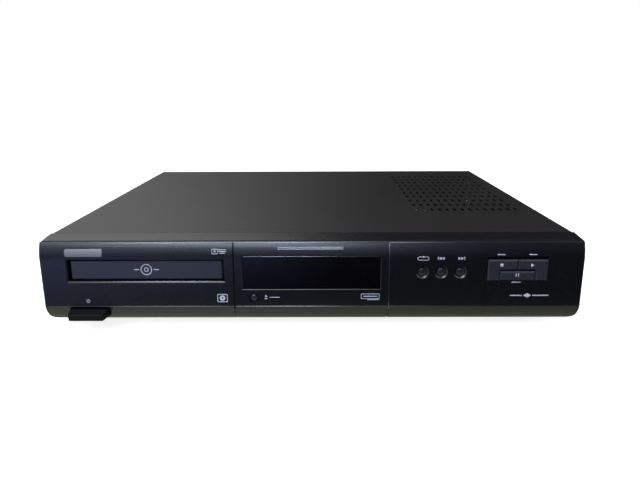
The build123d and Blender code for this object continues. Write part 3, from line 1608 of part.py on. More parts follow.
def main():
    os.makedirs("parts", exist_ok=True)
    save("front_moulding", make_front())
    save("display_window", make_window())
    save("name_badge", make_name_badge())
    save("chassis_pan", make_pan())
    save("rear_panel", make_rear_panel())
    save("top_cover", make_cover())
    for name, (x, y) in foot_places().items():
        save(f"foot_{name}", make_foot(x, y))
    save("foot_pads", make_foot_pads())
    save("cover_screws", make_cover_screws())
    save("rear_screws", make_rear_screws())
    save("loader_frame", make_loader_frame())
    save("disc_tray", make_tray())
    save("tray_door", make_tray_door())
    save("tray_gear", make_tray_gear())
    save("pulley_gear", make_pulley_gear())
    save("motor_pulley", make_motor_pulley())
    save("drive_belt", make_belt())
    save("tray_motor", make_tray_motor())
    save("clamp_bridge", make_clamp_bridge())
    save("clamp_puck", make_clamp_puck())
    save("traverse_plate", make_traverse())
    save("lift_cam", make_lift_cam())
    save("spindle_motor", make_spindle_motor())
    save("turntable", make_turntable())
    save("pickup_sled", make_sled())
    save("pickup_lens", make_lens())
    save("guide_rods", make_guide_rods())
    save("lead_screw", make_lead_screw())
    save("sled_motor", make_sled_motor())
    save("loader_screws", make_loader_screws())
    save("main_board", make_main_board())
    save("decoder_chips", make_chips())
    save("supply_board", make_supply_board())
    save("transformer", make_transformer())
    save("capacitors", make_capacitors())
    save("heat_sink", make_heat_sink())
    save("mains_choke", make_choke())
    save("mains_fuse", make_fuse())
    save("mains_inlet", make_inlet())
    save("mains_switch", make_mains_switch())
    save("power_button", make_power_button())
    names = ("repeat", "previous", "next")
    for name, x in zip(names, round_button_x):
        save(f"key_{name}", round_button(x, round_button_z, round_button_radius))
    save("key_open_close", round_button(open_button_x, open_button_z, open_button_radius))
    save("key_stop", make_stop_key())
    save("key_play", make_play_key())
    save("key_pause", make_pause_key())
    save("front_board", make_front_board())
    save("key_switches", make_switches())
    save("display_tube", make_display_tube())
    save("ir_receiver", make_receiver())
    save("scart_socket", make_scart())
    save("phono_jacks", make_jacks())
    save("front_ribbon", make_front_ribbon())
    save("loader_ribbon", make_loader_ribbon())
    save("board_screws", make_board_screws())


main()
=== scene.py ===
import bpy
import bmesh
import json
import math
import random
from mathutils import Matrix, Vector
from mathutils.bvhtree import BVHTree


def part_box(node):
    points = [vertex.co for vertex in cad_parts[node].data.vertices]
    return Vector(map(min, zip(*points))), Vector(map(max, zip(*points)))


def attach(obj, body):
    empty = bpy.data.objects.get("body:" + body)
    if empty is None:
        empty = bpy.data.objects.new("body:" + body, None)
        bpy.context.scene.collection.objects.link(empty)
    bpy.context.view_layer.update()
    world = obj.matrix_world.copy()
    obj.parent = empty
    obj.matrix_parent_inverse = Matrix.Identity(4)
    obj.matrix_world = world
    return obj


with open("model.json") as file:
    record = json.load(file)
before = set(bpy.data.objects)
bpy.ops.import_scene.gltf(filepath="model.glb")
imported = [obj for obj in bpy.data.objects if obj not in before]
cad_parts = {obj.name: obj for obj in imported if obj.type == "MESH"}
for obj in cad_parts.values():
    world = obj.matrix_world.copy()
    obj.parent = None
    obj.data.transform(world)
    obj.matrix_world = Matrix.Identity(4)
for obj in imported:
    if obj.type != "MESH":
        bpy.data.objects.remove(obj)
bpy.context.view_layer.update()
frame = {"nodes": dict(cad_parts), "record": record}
nodes = frame["nodes"]
mm = 0.001
print("frame loaded,", len(nodes), "nodes")


# Camera, at the angle of the photograph

cameraValues = {"place": (0.00894, -0.50751, 0.19656), "tilt": 71.789, "turn": 0.357, "roll": -0.258,
                "lens": 26.65, "across": 0.0007, "up": -0.0005}
cameraData = bpy.data.cameras.new("frontCamera")
cameraData.lens = cameraValues["lens"]
cameraData.shift_x, cameraData.shift_y = cameraValues["across"], cameraValues["up"]
cameraData.clip_start = 0.01
camera = bpy.data.objects.new("frontCamera", cameraData)
camera.location = cameraValues["place"]
turnMatrix, tiltMatrix, rollMatrix = [Matrix.Rotation(math.radians(cameraValues[key]), 3, axis)
                                      for key, axis in (("turn", "Z"), ("tilt", "X"), ("roll", "Z"))]
camera.rotation_euler = (turnMatrix @ tiltMatrix @ rollMatrix).to_euler()
bpy.context.scene.collection.objects.link(camera)
bpy.context.scene.camera = camera


# Shader building blocks

def addNode(tree, kind, **settings):
    node = tree.nodes.new(kind)
    for key, value in settings.items():
        setattr(node, key, value)
    return node


def feed(tree, socket, value):
    if isinstance(value, bpy.types.NodeSocket):
        tree.links.new(value, socket)
    elif isinstance(value, (tuple, list)) and socket.type == "RGBA":
        socket.default_value = (*value[:3], 1)
    else:
        socket.default_value = value


def mathNode(tree, operation, first, second=0.0):
    node = addNode(tree, "ShaderNodeMath", operation=operation)
    feed(tree, node.inputs[0], first)
    feed(tree, node.inputs[1], second)
    return node.outputs[0]


def mixColor(tree, factor, low, high):
    node = addNode(tree, "ShaderNodeMix", data_type="RGBA")
    feed(tree, node.inputs[0], factor)
    feed(tree, node.inputs[6], low)
    feed(tree, node.inputs[7], high)
    return node.outputs[2]


def mapRange(tree, value, low, high, toLow=0.0, toHigh=1.0):
    node = addNode(tree, "ShaderNodeMapRange")
    feed(tree, node.inputs[0], value)
    for socket, number in zip(node.inputs[1:5], (low, high, toLow, toHigh)):
        feed(tree, socket, number)
    return node.outputs[0]


def axisValue(tree, axis):
    split = addNode(tree, "ShaderNodeSeparateXYZ")
    tree.links.new(addNode(tree, "ShaderNodeTexCoord").outputs["Object"], split.inputs[0])
    return split.outputs["XYZ".index(axis)]


def normalValue(tree, axis):
    split = addNode(tree, "ShaderNodeSeparateXYZ")
    tree.links.new(addNode(tree, "ShaderNodeNewGeometry").outputs["Normal"], split.inputs[0])
    return split.outputs["XYZ".index(axis)]


def noiseNode(tree, scale, detail=2.0, stretch=None):
    coords = addNode(tree, "ShaderNodeTexCoord").outputs["Object"]
    if stretch is not None:
        mapping = addNode(tree, "ShaderNodeMapping")
        tree.links.new(coords, mapping.inputs[0])
        feed(tree, mapping.inputs["Scale"], stretch)
        coords = mapping.outputs[0]
    noise = addNode(tree, "ShaderNodeTexNoise")
    noise.inputs["Detail"].default_value = detail
    tree.links.new(coords, noise.inputs["Vector"])
    feed(tree, noise.inputs["Scale"], scale)
    return noise.outputs[0]


def newGroup(name, inputs, outputs):
    group = bpy.data.node_groups.new(name, "ShaderNodeTree")
    for label, kind, value in inputs:
        socket = group.interface.new_socket(name=label, in_out="INPUT", socket_type=kind)
        socket.default_value = value
    for label, kind in outputs:
        group.interface.new_socket(name=label, in_out="OUTPUT", socket_type=kind)
    return group, addNode(group, "NodeGroupInput").outputs, addNode(group, "NodeGroupOutput").inputs


def placeGroup(tree, group, **values):
    node = addNode(tree, "ShaderNodeGroup")
    node.node_tree = group
    for label, value in values.items():
        feed(tree, node.inputs[label], value)
    return node.outputs[0]


floatSocket, colorSocket, vectorSocket = "NodeSocketFloat", "NodeSocketColor", "NodeSocketVector"

# A colour that drifts a little lighter and darker over the surface
tintDrift, given, out = newGroup(
    "tintDrift",
    [("Color", colorSocket, (0.1, 0.1, 0.1, 1)), ("Amount", floatSocket, 0.2), ("Scale", floatSocket, 12)],
    [("Color", colorSocket)])
cloud = mapRange(tintDrift, noiseNode(tintDrift, given["Scale"], 4), 0.3, 0.7, -1, 1)
shift = mathNode(tintDrift, "MULTIPLY", cloud, given["Amount"])
scaled = addNode(tintDrift, "ShaderNodeVectorMath", operation="SCALE")
tintDrift.links.new(given["Color"], scaled.inputs[0])
tintDrift.links.new(mathNode(tintDrift, "ADD", shift, 1.0), scaled.inputs["Scale"])
tintDrift.links.new(scaled.outputs[0], out[0])

# Moulding or paint grain as a height
fineGrain, given, out = newGroup(
    "fineGrain", [("Scale", floatSocket, 2000), ("Depth", floatSocket, 0.3)], [("Height", floatSocket)])
fine = noiseNode(fineGrain, given["Scale"], 3)
broad = noiseNode(fineGrain, mathNode(fineGrain, "MULTIPLY", given["Scale"], 0.13), 2)
both = mathNode(fineGrain, "ADD", fine, broad)
fineGrain.links.new(mathNode(fineGrain, "MULTIPLY", both, given["Depth"]), out[0])

# Lines drawn along one axis, as on brushed or drawn metal
brushLines, given, out = newGroup(
    "brushLines", [("Stretch", vectorSocket, (1, 1, 1)), ("Depth", floatSocket, 0.3)],
    [("Height", floatSocket)])
lines = noiseNode(brushLines, 1.0, 4, given["Stretch"])
brushLines.links.new(mathNode(brushLines, "MULTIPLY", lines, given["Depth"]), out[0])

# Handling marks: the roughness goes up and down in soft patches
handling, given, out = newGroup(
    "handling",
    [("Roughness", floatSocket, 0.4), ("Spread", floatSocket, 0.08), ("Scale", floatSocket, 18)],
    [("Roughness", floatSocket)])
patch = mapRange(handling, noiseNode(handling, given["Scale"], 5), 0.35, 0.68, -1, 1)
patch = mathNode(handling, "MULTIPLY", patch, given["Spread"])
handling.links.new(mathNode(handling, "ADD", given["Roughness"], patch), out[0])

# Dust that lies on faces that look up
settledDust, given, out = newGroup(
    "settledDust", [("Amount", floatSocket, 0.2), ("Scale", floatSocket, 60)], [("Mask", floatSocket)])
lying = mapRange(settledDust, normalValue(settledDust, "Z"), 0.55, 1.0)
specks = mapRange(settledDust, noiseNode(settledDust, given["Scale"], 8), 0.42, 0.75)
specks = mathNode(settledDust, "MULTIPLY", lying, specks)
settledDust.links.new(mathNode(settledDust, "MULTIPLY", specks, given["Amount"]), out[0])


def newMaterial(name):
    material = bpy.data.materials.new(name)
    material.use_nodes = True
    tree = material.node_tree
    return material, tree, tree.nodes["Principled BSDF"]


def seenDirectly(tree):
    # 1 where the camera, a reflection or a see-through surface looks, and 0 for the light it gives
    ray = addNode(tree, "ShaderNodeLightPath")
    bounced = mathNode(tree, "MAXIMUM", ray.outputs["Is Glossy Ray"], ray.outputs["Is Transmission Ray"])
    return mathNode(tree, "MAXIMUM", ray.outputs["Is Camera Ray"], bounced)


def addBump(tree, shader, height, distance):
    bump = addNode(tree, "ShaderNodeBump")
    bump.inputs["Distance"].default_value = distance
    tree.links.new(height, bump.inputs["Height"])
    tree.links.new(bump.outputs[0], shader.inputs["Normal"])


dustLook = {"color": (0.34, 0.32, 0.3), "rough": 0.5, "scale": 70}


def makeFinish(name, values, color=None):
    material, tree, shader = newMaterial(name)
    base = values["base"] if color is None else color(tree)
    tint = placeGroup(tree, tintDrift, Color=base, Amount=values.get("drift", 0.15),
                      Scale=values.get("driftScale", 14))
    dust = values.get("dust", 0)
    rough = placeGroup(tree, handling, Roughness=values["rough"], Spread=values.get("spread", 0.05),
                       Scale=values.get("spreadScale", 22))
    if dust:
        mask = placeGroup(tree, settledDust, Amount=dust, Scale=dustLook["scale"])
        tint = mixColor(tree, mask, tint, dustLook["color"])
        rough = mathNode(tree, "ADD", rough, mathNode(tree, "MULTIPLY", mask, dustLook["rough"]))
    tree.links.new(tint, shader.inputs["Base Color"])
    tree.links.new(rough, shader.inputs["Roughness"])
    shader.inputs["Metallic"].default_value = values.get("metal", 0)
    shader.inputs["Specular IOR Level"].default_value = values.get("specular", 0.5)
    if values.get("coat"):
        shader.inputs["Coat Weight"].default_value = values["coat"]
        shader.inputs["Coat Roughness"].default_value = values.get("coatRough", 0.1)
    depth, bump = values.get("depth", 0.4), values.get("bump", 0.00004)
    if values.get("stretch"):
        addBump(tree, shader, placeGroup(tree, brushLines, Stretch=values["stretch"], Depth=depth), bump)
    elif values.get("grain"):
        addBump(tree, shader, placeGroup(tree, fineGrain, Scale=values["grain"], Depth=depth), bump)
    return material


# Colour patterns that some finishes use instead of one base colour

spangleValues = {"scale": 95, "low": (0.46, 0.47, 0.47), "high": (0.6, 0.61, 0.6)}
trackValues = {"along": (0.019, 0.0024, 0.00035), "across": (0.014, 0.0031, 0.0004), "region": 38,
               "pads": 240, "padSpread": 0.35, "padEdge": (0.13, 0.17)}
woundValues = {"tapeStart": (0.74, 0.75), "foot": (5.1, 5.3), "core": (0.045, 0.045, 0.048),
               "tape": (0.68, 0.5, 0.07), "base": (0.02, 0.02, 0.022)}


def spangleColor(tree):
    cells = addNode(tree, "ShaderNodeTexVoronoi")
    cells.inputs["Scale"].default_value = spangleValues["scale"]
    tree.links.new(addNode(tree, "ShaderNodeTexCoord").outputs["Object"], cells.inputs["Vector"])
    split = addNode(tree, "ShaderNodeSeparateColor")
    tree.links.new(cells.outputs["Color"], split.inputs[0])
    return mixColor(tree, split.outputs[0], spangleValues["low"], spangleValues["high"])


def trackMask(tree, turn, brickWidth, rowHeight, mortar):
    mapping = addNode(tree, "ShaderNodeMapping")
    mapping.inputs["Rotation"].default_value = (0, 0, math.radians(turn))
    tree.links.new(addNode(tree, "ShaderNodeTexCoord").outputs["Object"], mapping.inputs[0])
    brick = addNode(tree, "ShaderNodeTexBrick", offset=0.37, squash=1.6, squash_frequency=3)
    tree.links.new(mapping.outputs[0], brick.inputs["Vector"])
    for label, value in (("Scale", 1.0), ("Brick Width", brickWidth), ("Row Height", rowHeight),
                         ("Mortar Size", mortar), ("Mortar Smooth", 0.05)):
        brick.inputs[label].default_value = value
    return brick.outputs["Fac"]


def boardColor(mask, track, pad):
    def color(tree):
        along = trackMask(tree, 0, *trackValues["along"])
        across = trackMask(tree, 90, *trackValues["across"])
        region = mapRange(tree, noiseNode(tree, trackValues["region"], 1), 0.49, 0.51)
        picked = addNode(tree, "ShaderNodeMix", data_type="FLOAT")
        feed(tree, picked.inputs[0], region)
        feed(tree, picked.inputs[2], along)
        feed(tree, picked.inputs[3], across)
        tint = mixColor(tree, picked.outputs[0], mask, track)
        dots = addNode(tree, "ShaderNodeTexVoronoi")
        dots.inputs["Scale"].default_value = trackValues["pads"]
        dots.inputs["Randomness"].default_value = trackValues["padSpread"]
        tree.links.new(addNode(tree, "ShaderNodeTexCoord").outputs["Object"], dots.inputs["Vector"])
        pads = mapRange(tree, dots.outputs["Distance"], *trackValues["padEdge"], 1, 0)
        return mixColor(tree, pads, tint, pad)
    return color


def capColor(side, top):
    def color(tree):
        return mixColor(tree, mapRange(tree, normalValue(tree, "Z"), 0.75, 0.9), side, top)
    return color


def stripeColor(axis, pitch, low, high):
    def color(tree):
        wave = mathNode(tree, "FRACT", mathNode(tree, "DIVIDE", axisValue(tree, axis), pitch))
        away = mathNode(tree, "ABSOLUTE", mathNode(tree, "SUBTRACT", wave, 0.5))
        return mixColor(tree, mapRange(tree, away, 0.2, 0.26), low, high)
    return color


def woundColor(node):
    low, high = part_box(node)
    middle = (low.y + high.y) / 2
    tapeStart = [share * (high.y - low.y) / 2 for share in woundValues["tapeStart"]]
    footEdge = [low.z + rise * mm for rise in woundValues["foot"]]

    def color(tree):
        away = mathNode(tree, "ABSOLUTE", mathNode(tree, "SUBTRACT", axisValue(tree, "Y"), middle))
        wound = mixColor(tree, mapRange(tree, away, *tapeStart), woundValues["core"], woundValues["tape"])
        return mixColor(tree, mapRange(tree, axisValue(tree, "Z"), *footEdge), woundValues["base"], wound)
    return color


# Finishes of the record's material slots
finishes = {
    "gloss_black_plastic": {"base": (0.0019, 0.0023, 0.0034), "rough": 0.27, "spread": 0.012, "drift": 0.05},
    "smoked_window": {"base": (0.0009, 0.0007, 0.0009), "rough": 0.07, "spread": 0.02, "drift": 0.2,
                      "grain": 160, "depth": 0.3, "bump": 0.000002, "specular": 0.35},
    "silver_plate": {"base": (0.21, 0.205, 0.19), "rough": 0.4, "metal": 1, "drift": 0.06,
                     "stretch": (60, 4000, 6000), "bump": 0.00001},
    "zinc_steel": {"base": (0.55, 0.56, 0.55), "rough": 0.36, "metal": 1, "drift": 0.08, "spread": 0.07,
                   "grain": 700, "depth": 0.3, "bump": 0.00003, "dust": 0.12},
    "black_painted_steel": {"base": (0.0088, 0.0074, 0.0076), "rough": 0.38, "drift": 0.06, "driftScale": 7,
                            "spread": 0.012, "spreadScale": 9, "grain": 3400, "depth": 0.2, "bump": 0.000004},
    "black_plastic": {"base": (0.017, 0.0175, 0.019), "rough": 0.45, "grain": 3000, "bump": 0.00004,
                      "dust": 0.08},
    "key_plastic": {"base": (0.0165, 0.0185, 0.024), "rough": 0.32, "grain": 4200, "depth": 0.3,
                    "bump": 0.000015},
    "rubber_pad": {"base": (0.02, 0.02, 0.02), "rough": 0.8, "grain": 1500, "bump": 0.00008, "dust": 0.25},
    "screw_black": {"base": (0.03, 0.03, 0.031), "rough": 0.34, "metal": 0.7, "grain": 2600, "bump": 0.00003},
    "screw_zinc": {"base": (0.55, 0.56, 0.53), "rough": 0.28, "metal": 1, "grain": 2200, "bump": 0.00003},
    "tray_plastic": {"base": (0.030, 0.031, 0.034), "rough": 0.43, "grain": 3200, "bump": 0.00004,
                     "dust": 0.06},
    "loader_plastic": {"base": (0.05, 0.05, 0.053), "rough": 0.48, "grain": 2600, "bump": 0.00005,
                       "dust": 0.15},
    "gear_plastic": {"base": (0.72, 0.7, 0.62), "rough": 0.38, "drift": 0.06, "grain": 1800, "bump": 0.00002},
    "belt_rubber": {"base": (0.02, 0.02, 0.021), "rough": 0.6, "grain": 2400, "bump": 0.00003},
    "motor_steel": {"base": (0.6, 0.6, 0.59), "rough": 0.27, "metal": 1, "drift": 0.05,
                    "stretch": (500, 500, 5200), "bump": 0.00002},
    "polished_rod": {"base": (0.68, 0.68, 0.69), "rough": 0.14, "metal": 1, "drift": 0.04, "spread": 0.03,
                     "stretch": (5000, 300, 5000), "bump": 0.000006},
    "pickup_metal": {"base": (0.42, 0.42, 0.44), "rough": 0.42, "metal": 1, "grain": 1500, "bump": 0.00005},
    "lens_glass": {"base": (0.10, 0.06, 0.2), "rough": 0.04, "spread": 0.01, "coat": 1, "coatRough": 0.02},
    "board_green": {"base": (0.02, 0.12, 0.045), "rough": 0.36, "grain": 900, "bump": 0.00003, "dust": 0.15},
    "board_brown": {"base": (0.26, 0.14, 0.05), "rough": 0.5, "grain": 900, "bump": 0.00003, "dust": 0.15},
    "chip_black": {"base": (0.022, 0.022, 0.024), "rough": 0.52, "grain": 3800, "bump": 0.00004, "dust": 0.1},
    "capacitor_sleeve": {"base": (0.014, 0.018, 0.07), "rough": 0.28, "drift": 0.08, "grain": 500,
                         "bump": 0.00002},
    "transformer_tape": {"base": (0.68, 0.5, 0.07), "rough": 0.42, "grain": 900, "bump": 0.00004},
    "sink_aluminium": {"base": (0.6, 0.6, 0.61), "rough": 0.34, "metal": 1, "stretch": (4200, 4200, 90),
                       "bump": 0.00003},
    "socket_plastic": {"base": (0.02, 0.02, 0.022), "rough": 0.46, "grain": 2800, "bump": 0.00005},
    "jack_plastic": {"base": (0.022, 0.022, 0.025), "rough": 0.38, "grain": 2800, "bump": 0.00004},
    "ribbon_white": {"base": (0.7, 0.71, 0.73), "rough": 0.4, "drift": 0.05, "grain": 700, "bump": 0.00002},
    "tube_glass": {"base": (0.03, 0.036, 0.04), "rough": 0.08, "spread": 0.02, "coat": 0.5, "grain": 300,
                   "bump": 0.00001},
    "switch_plastic": {"base": (0.05, 0.05, 0.052), "rough": 0.45, "grain": 2400, "bump": 0.00004},
}
ribbonStripe = (1.0 * mm, (0.42, 0.43, 0.45), (0.74, 0.75, 0.77))
patterns = {
    "zinc_steel": spangleColor,
    "board_green": boardColor((0.012, 0.085, 0.03), (0.03, 0.17, 0.06), (0.5, 0.5, 0.48)),
    "board_brown": boardColor((0.25, 0.135, 0.05), (0.32, 0.19, 0.08), (0.5, 0.47, 0.42)),
    "capacitor_sleeve": capColor((0.014, 0.018, 0.07), (0.5, 0.5, 0.5)),
    "ribbon_white": stripeColor("X", *ribbonStripe),
    "transformer_tape": woundColor("transformer"),
}
slotMaterials = {name: makeFinish(name, values, patterns.get(name)) for name, values in finishes.items()}
gloss = finishes["gloss_black_plastic"]
specialFinishes = {
    "loader_ribbon": makeFinish("ribbon_side", finishes["ribbon_white"], stripeColor("Y", *ribbonStripe)),
    "mains_choke": makeFinish("choke_winding", dict(finishes["transformer_tape"], rough=0.3),
                              stripeColor("Z", 0.8 * mm, (0.18, 0.06, 0.02), (0.42, 0.16, 0.05))),
    "power_button": makeFinish("power_plastic", dict(gloss, base=(0.0016, 0.0019, 0.0032), specular=0.1)),
    # The door's copy of the gloss plastic has a lighter base, a painted sheen for the brighter reflection the
    # door catches
    "tray_door": makeFinish("door_plastic", dict(gloss, base=(0.0165, 0.019, 0.0288), rough=0.34)),
    "round_keys": makeFinish("round_key_plastic",
                             dict(finishes["key_plastic"], base=(0.007, 0.008, 0.0105))),
    "mains_fuse": makeFinish("fuse_body", {"base": (0.6, 0.6, 0.58), "rough": 0.18, "metal": 0.85,
                                           "grain": 900, "bump": 0.00001}),
}
roundKeys = ("key_repeat", "key_previous", "key_next", "key_open_close")
for part in frame["record"]["subparts"]:
    obj = nodes[part["node"]]
    obj.data.materials.clear()
    special = "round_keys" if part["node"] in roundKeys else part["node"]
    obj.data.materials.append(specialFinishes.get(special, slotMaterials[part["material_slot"]]))
print("materials on the packed nodes:", len(slotMaterials) + len(specialFinishes))

extraFinishes = {
    "mark_ink": {"base": (0.42, 0.43, 0.52), "rough": 0.5, "drift": 0.12, "driftScale": 160, "grain": 3000,
                 "bump": 0.00002},
    "plated_nickel": {"base": (0.62, 0.6, 0.56), "rough": 0.2, "metal": 1, "drift": 0.05,
                      "stretch": (300, 4000, 300), "bump": 0.00001},
    "plated_gold": {"base": (0.78, 0.55, 0.2), "rough": 0.24, "metal": 1, "drift": 0.05, "grain": 1500,
                    "bump": 0.00001},
    "ring_yellow": {"base": (0.72, 0.46, 0.03), "rough": 0.38, "grain": 1800, "bump": 0.00002},
    "ring_white": {"base": (0.68, 0.68, 0.66), "rough": 0.38, "grain": 1800, "bump": 0.00002},
    "ring_red": {"base": (0.42, 0.02, 0.02), "rough": 0.38, "grain": 1800, "bump": 0.00002},
    "ring_orange": {"base": (0.62, 0.2, 0.02), "rough": 0.38, "grain": 1800, "bump": 0.00002},
    "connector_cream": {"base": (0.66, 0.62, 0.5), "rough": 0.45, "grain": 1600, "bump": 0.00003,
                        "dust": 0.1},
    "resistor_tan": {"base": (0.46, 0.3, 0.15), "rough": 0.42, "grain": 1500, "bump": 0.00003},
    "ceramic_brown": {"base": (0.36, 0.13, 0.04), "rough": 0.4, "grain": 1500, "bump": 0.00004},
    "rubber_ring": {"base": (0.016, 0.016, 0.017), "rough": 0.7, "grain": 2400, "bump": 0.00005},
    # Metal-like beads of painted highlight for fine edge lines, in a bright, a softer and a dim copy for
    # where the highlight is stronger or weaker
    "polished_edge": {"base": (0.15, 0.157, 0.185), "rough": 0.24, "metal": 1},
    "soft_edge": {"base": (0.08, 0.084, 0.1), "rough": 0.24, "metal": 1},
    "dim_edge": {"base": (0.026, 0.027, 0.032), "rough": 0.28, "metal": 1},
    # Near-black painted shade, for strips laid where shade falls in seams and gaps
    "seam_rubber": {"base": (0.004, 0.004, 0.004), "rough": 0.8, "specular": 0.1},
}
extras = {name: makeFinish(name, values) for name, values in extraFinishes.items()}


# Mesh helpers

def pieceFrom(name, bm, material, body, sharp=38):
    mesh = bpy.data.meshes.new(name)
    bm.to_mesh(mesh)
    bm.free()
    mesh.materials.append(material)
    mesh.shade_smooth()
    mesh.set_sharp_from_angle(angle=math.radians(sharp))
    obj = bpy.data.objects.new(name, mesh)
    bpy.context.scene.collection.objects.link(obj)
    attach(obj, body)
    return obj


def edgesOf(verts):
    return list({edge for vert in verts for edge in vert.link_edges})


def roundedBox(bm, low, high, radius=0.0, steps=2):
    low, high = Vector(low), Vector(high)
    size = high - low
    place = Matrix.Translation((low + high) / 2) @ Matrix.Diagonal((*size, 1))
    verts = bmesh.ops.create_cube(bm, size=1, matrix=place)["verts"]
    if radius:
        bmesh.ops.bevel(bm, geom=edgesOf(verts), offset=radius, segments=steps, profile=0.5, affect="EDGES",
                        material=-1)


def turnedPiece(profile, place, steps=32):
    # profile is a list of (radius, height) points round the place's own Z axis
    bm = bmesh.new()
    verts = [bm.verts.new((radius, 0, height)) for radius, height in profile]
    edges = [bm.edges.new(pair) for pair in zip(verts, verts[1:])]
    if profile[0][0] > 0 and profile[-1][0] > 0:
        edges.append(bm.edges.new((verts[-1], verts[0])))
    bmesh.ops.spin(bm, geom=verts + edges, cent=(0, 0, 0), axis=(0, 0, 1), angle=2 * math.pi, steps=steps,
                   use_merge=True)
    bmesh.ops.remove_doubles(bm, verts=bm.verts, dist=1e-7)
    bmesh.ops.recalc_face_normals(bm, faces=bm.faces)
    bmesh.ops.transform(bm, matrix=place, verts=bm.verts)
    return bm


def joinInto(target, source):
    mesh = bpy.data.meshes.new("join")
    source.to_mesh(mesh)
    source.free()
    target.from_mesh(mesh)
    bpy.data.meshes.remove(mesh)


alongX = Matrix.Rotation(math.radians(90), 4, "Y")    # turns +Z to +X
alongY = Matrix.Rotation(math.radians(-90), 4, "X")   # turns +Z to +Y


# Printed marks: plain symbols and rules, laid on the surface that carries them

facing = Matrix.Rotation(math.radians(90), 4, "X")    # turns a flat shape to face the front


def markPlace(x, z, turn=0):
    return Matrix.Translation((x * mm, 0, z * mm)) @ facing @ Matrix.Rotation(math.radians(turn), 4, "Z")


def bar(bm, x, z, wide, tall, turn=0):
    steps = [max(1, math.ceil(length / 2.5)) for length in (wide, tall)]
    bmesh.ops.create_grid(bm, x_segments=steps[0], y_segments=steps[1], size=0.5,
                          matrix=markPlace(x, z, turn) @ Matrix.Diagonal((wide * mm, tall * mm, 1, 1)))


def ring(bm, x, z, outer, inner, flat=1.0, steps=36):
    edges = []
    for radius in (outer, inner):
        made = bmesh.ops.create_circle(bm, cap_ends=False, segments=steps, radius=radius * mm,
                                       matrix=markPlace(x, z) @ Matrix.Diagonal((1, flat, 1, 1)))
        edges += edgesOf(made["verts"])
    bmesh.ops.bridge_loops(bm, edges=edges)


def dot(bm, x, z, radius, flat=1.0):
    bmesh.ops.create_circle(bm, cap_ends=True, segments=24, radius=radius * mm,
                            matrix=markPlace(x, z) @ Matrix.Diagonal((1, flat, 1, 1)))


def arrow(bm, x, z, size, turn):
    bmesh.ops.create_circle(bm, cap_ends=True, segments=3, radius=size * mm,
                            matrix=markPlace(x, z, turn - 90))


def arc(bm, x, z, radius, width, start, sweep, steps=20):
    place = markPlace(x, z, start)
    inner = bm.verts.new(place @ Vector(((radius - width / 2) * mm, 0, 0)))
    outer = bm.verts.new(place @ Vector(((radius + width / 2) * mm, 0, 0)))
    edge = bm.edges.new((inner, outer))
    bmesh.ops.spin(bm, geom=[inner, outer, edge], cent=(x * mm, 0, z * mm), axis=(0, -1, 0),
                   angle=math.radians(sweep), steps=steps)


def outlineFrame(bm, x, z, wide, tall, width, corner):
    made = bmesh.ops.create_grid(bm, x_segments=1, y_segments=1, size=0.5,
                                 matrix=markPlace(x, z) @ Matrix.Diagonal((wide * mm, tall * mm, 1, 1)))
    verts = made["verts"]
    bevelled = bmesh.ops.bevel(bm, geom=verts, offset=corner * mm, segments=5, profile=0.5, affect="VERTICES",
                               material=-1)
    face = max((f for v in bevelled["verts"] for f in v.link_faces), key=lambda f: f.calc_area())
    bmesh.ops.inset_region(bm, faces=[face], thickness=width * mm, use_even_offset=True, use_boundary=True)
    bmesh.ops.delete(bm, geom=[face], context="FACES_ONLY")


def surfaceOf(*names):
    graph = bpy.context.evaluated_depsgraph_get()
    return [BVHTree.FromObject(nodes[name], graph) for name in names]


def laidOn(bm, surfaces, fromFront=True, lift=0.05):
    start, way = (-0.4, 1) if fromFront else (0.4, -1)
    for vert in bm.verts:
        origin = Vector((vert.co.x, start, vert.co.z))
        hits = [tree.ray_cast(origin, Vector((0, way, 0))) for tree in surfaces]
        hits = [hit for hit in hits if hit[0] is not None]
        place, normal = min(hits, key=lambda hit: hit[3])[:2]
        vert.co = place + normal * (lift * mm)
    bm.normal_update()
    wrong = [face for face in bm.faces if face.normal.y * way > 0]
    bmesh.ops.reverse_faces(bm, faces=wrong)


def makeMark(name, shapes, carrier, body, fromFront=True):
    bm = bmesh.new()
    for shape, *numbers in shapes:
        shape(bm, *numbers)
    laidOn(bm, surfaceOf(*carrier), fromFront)
    obj = pieceFrom(name, bm, extras["mark_ink"], body)
    skin = obj.modifiers.new("inkThickness", "SOLIDIFY")
    skin.thickness = 0.04 * mm
    skin.offset = -1


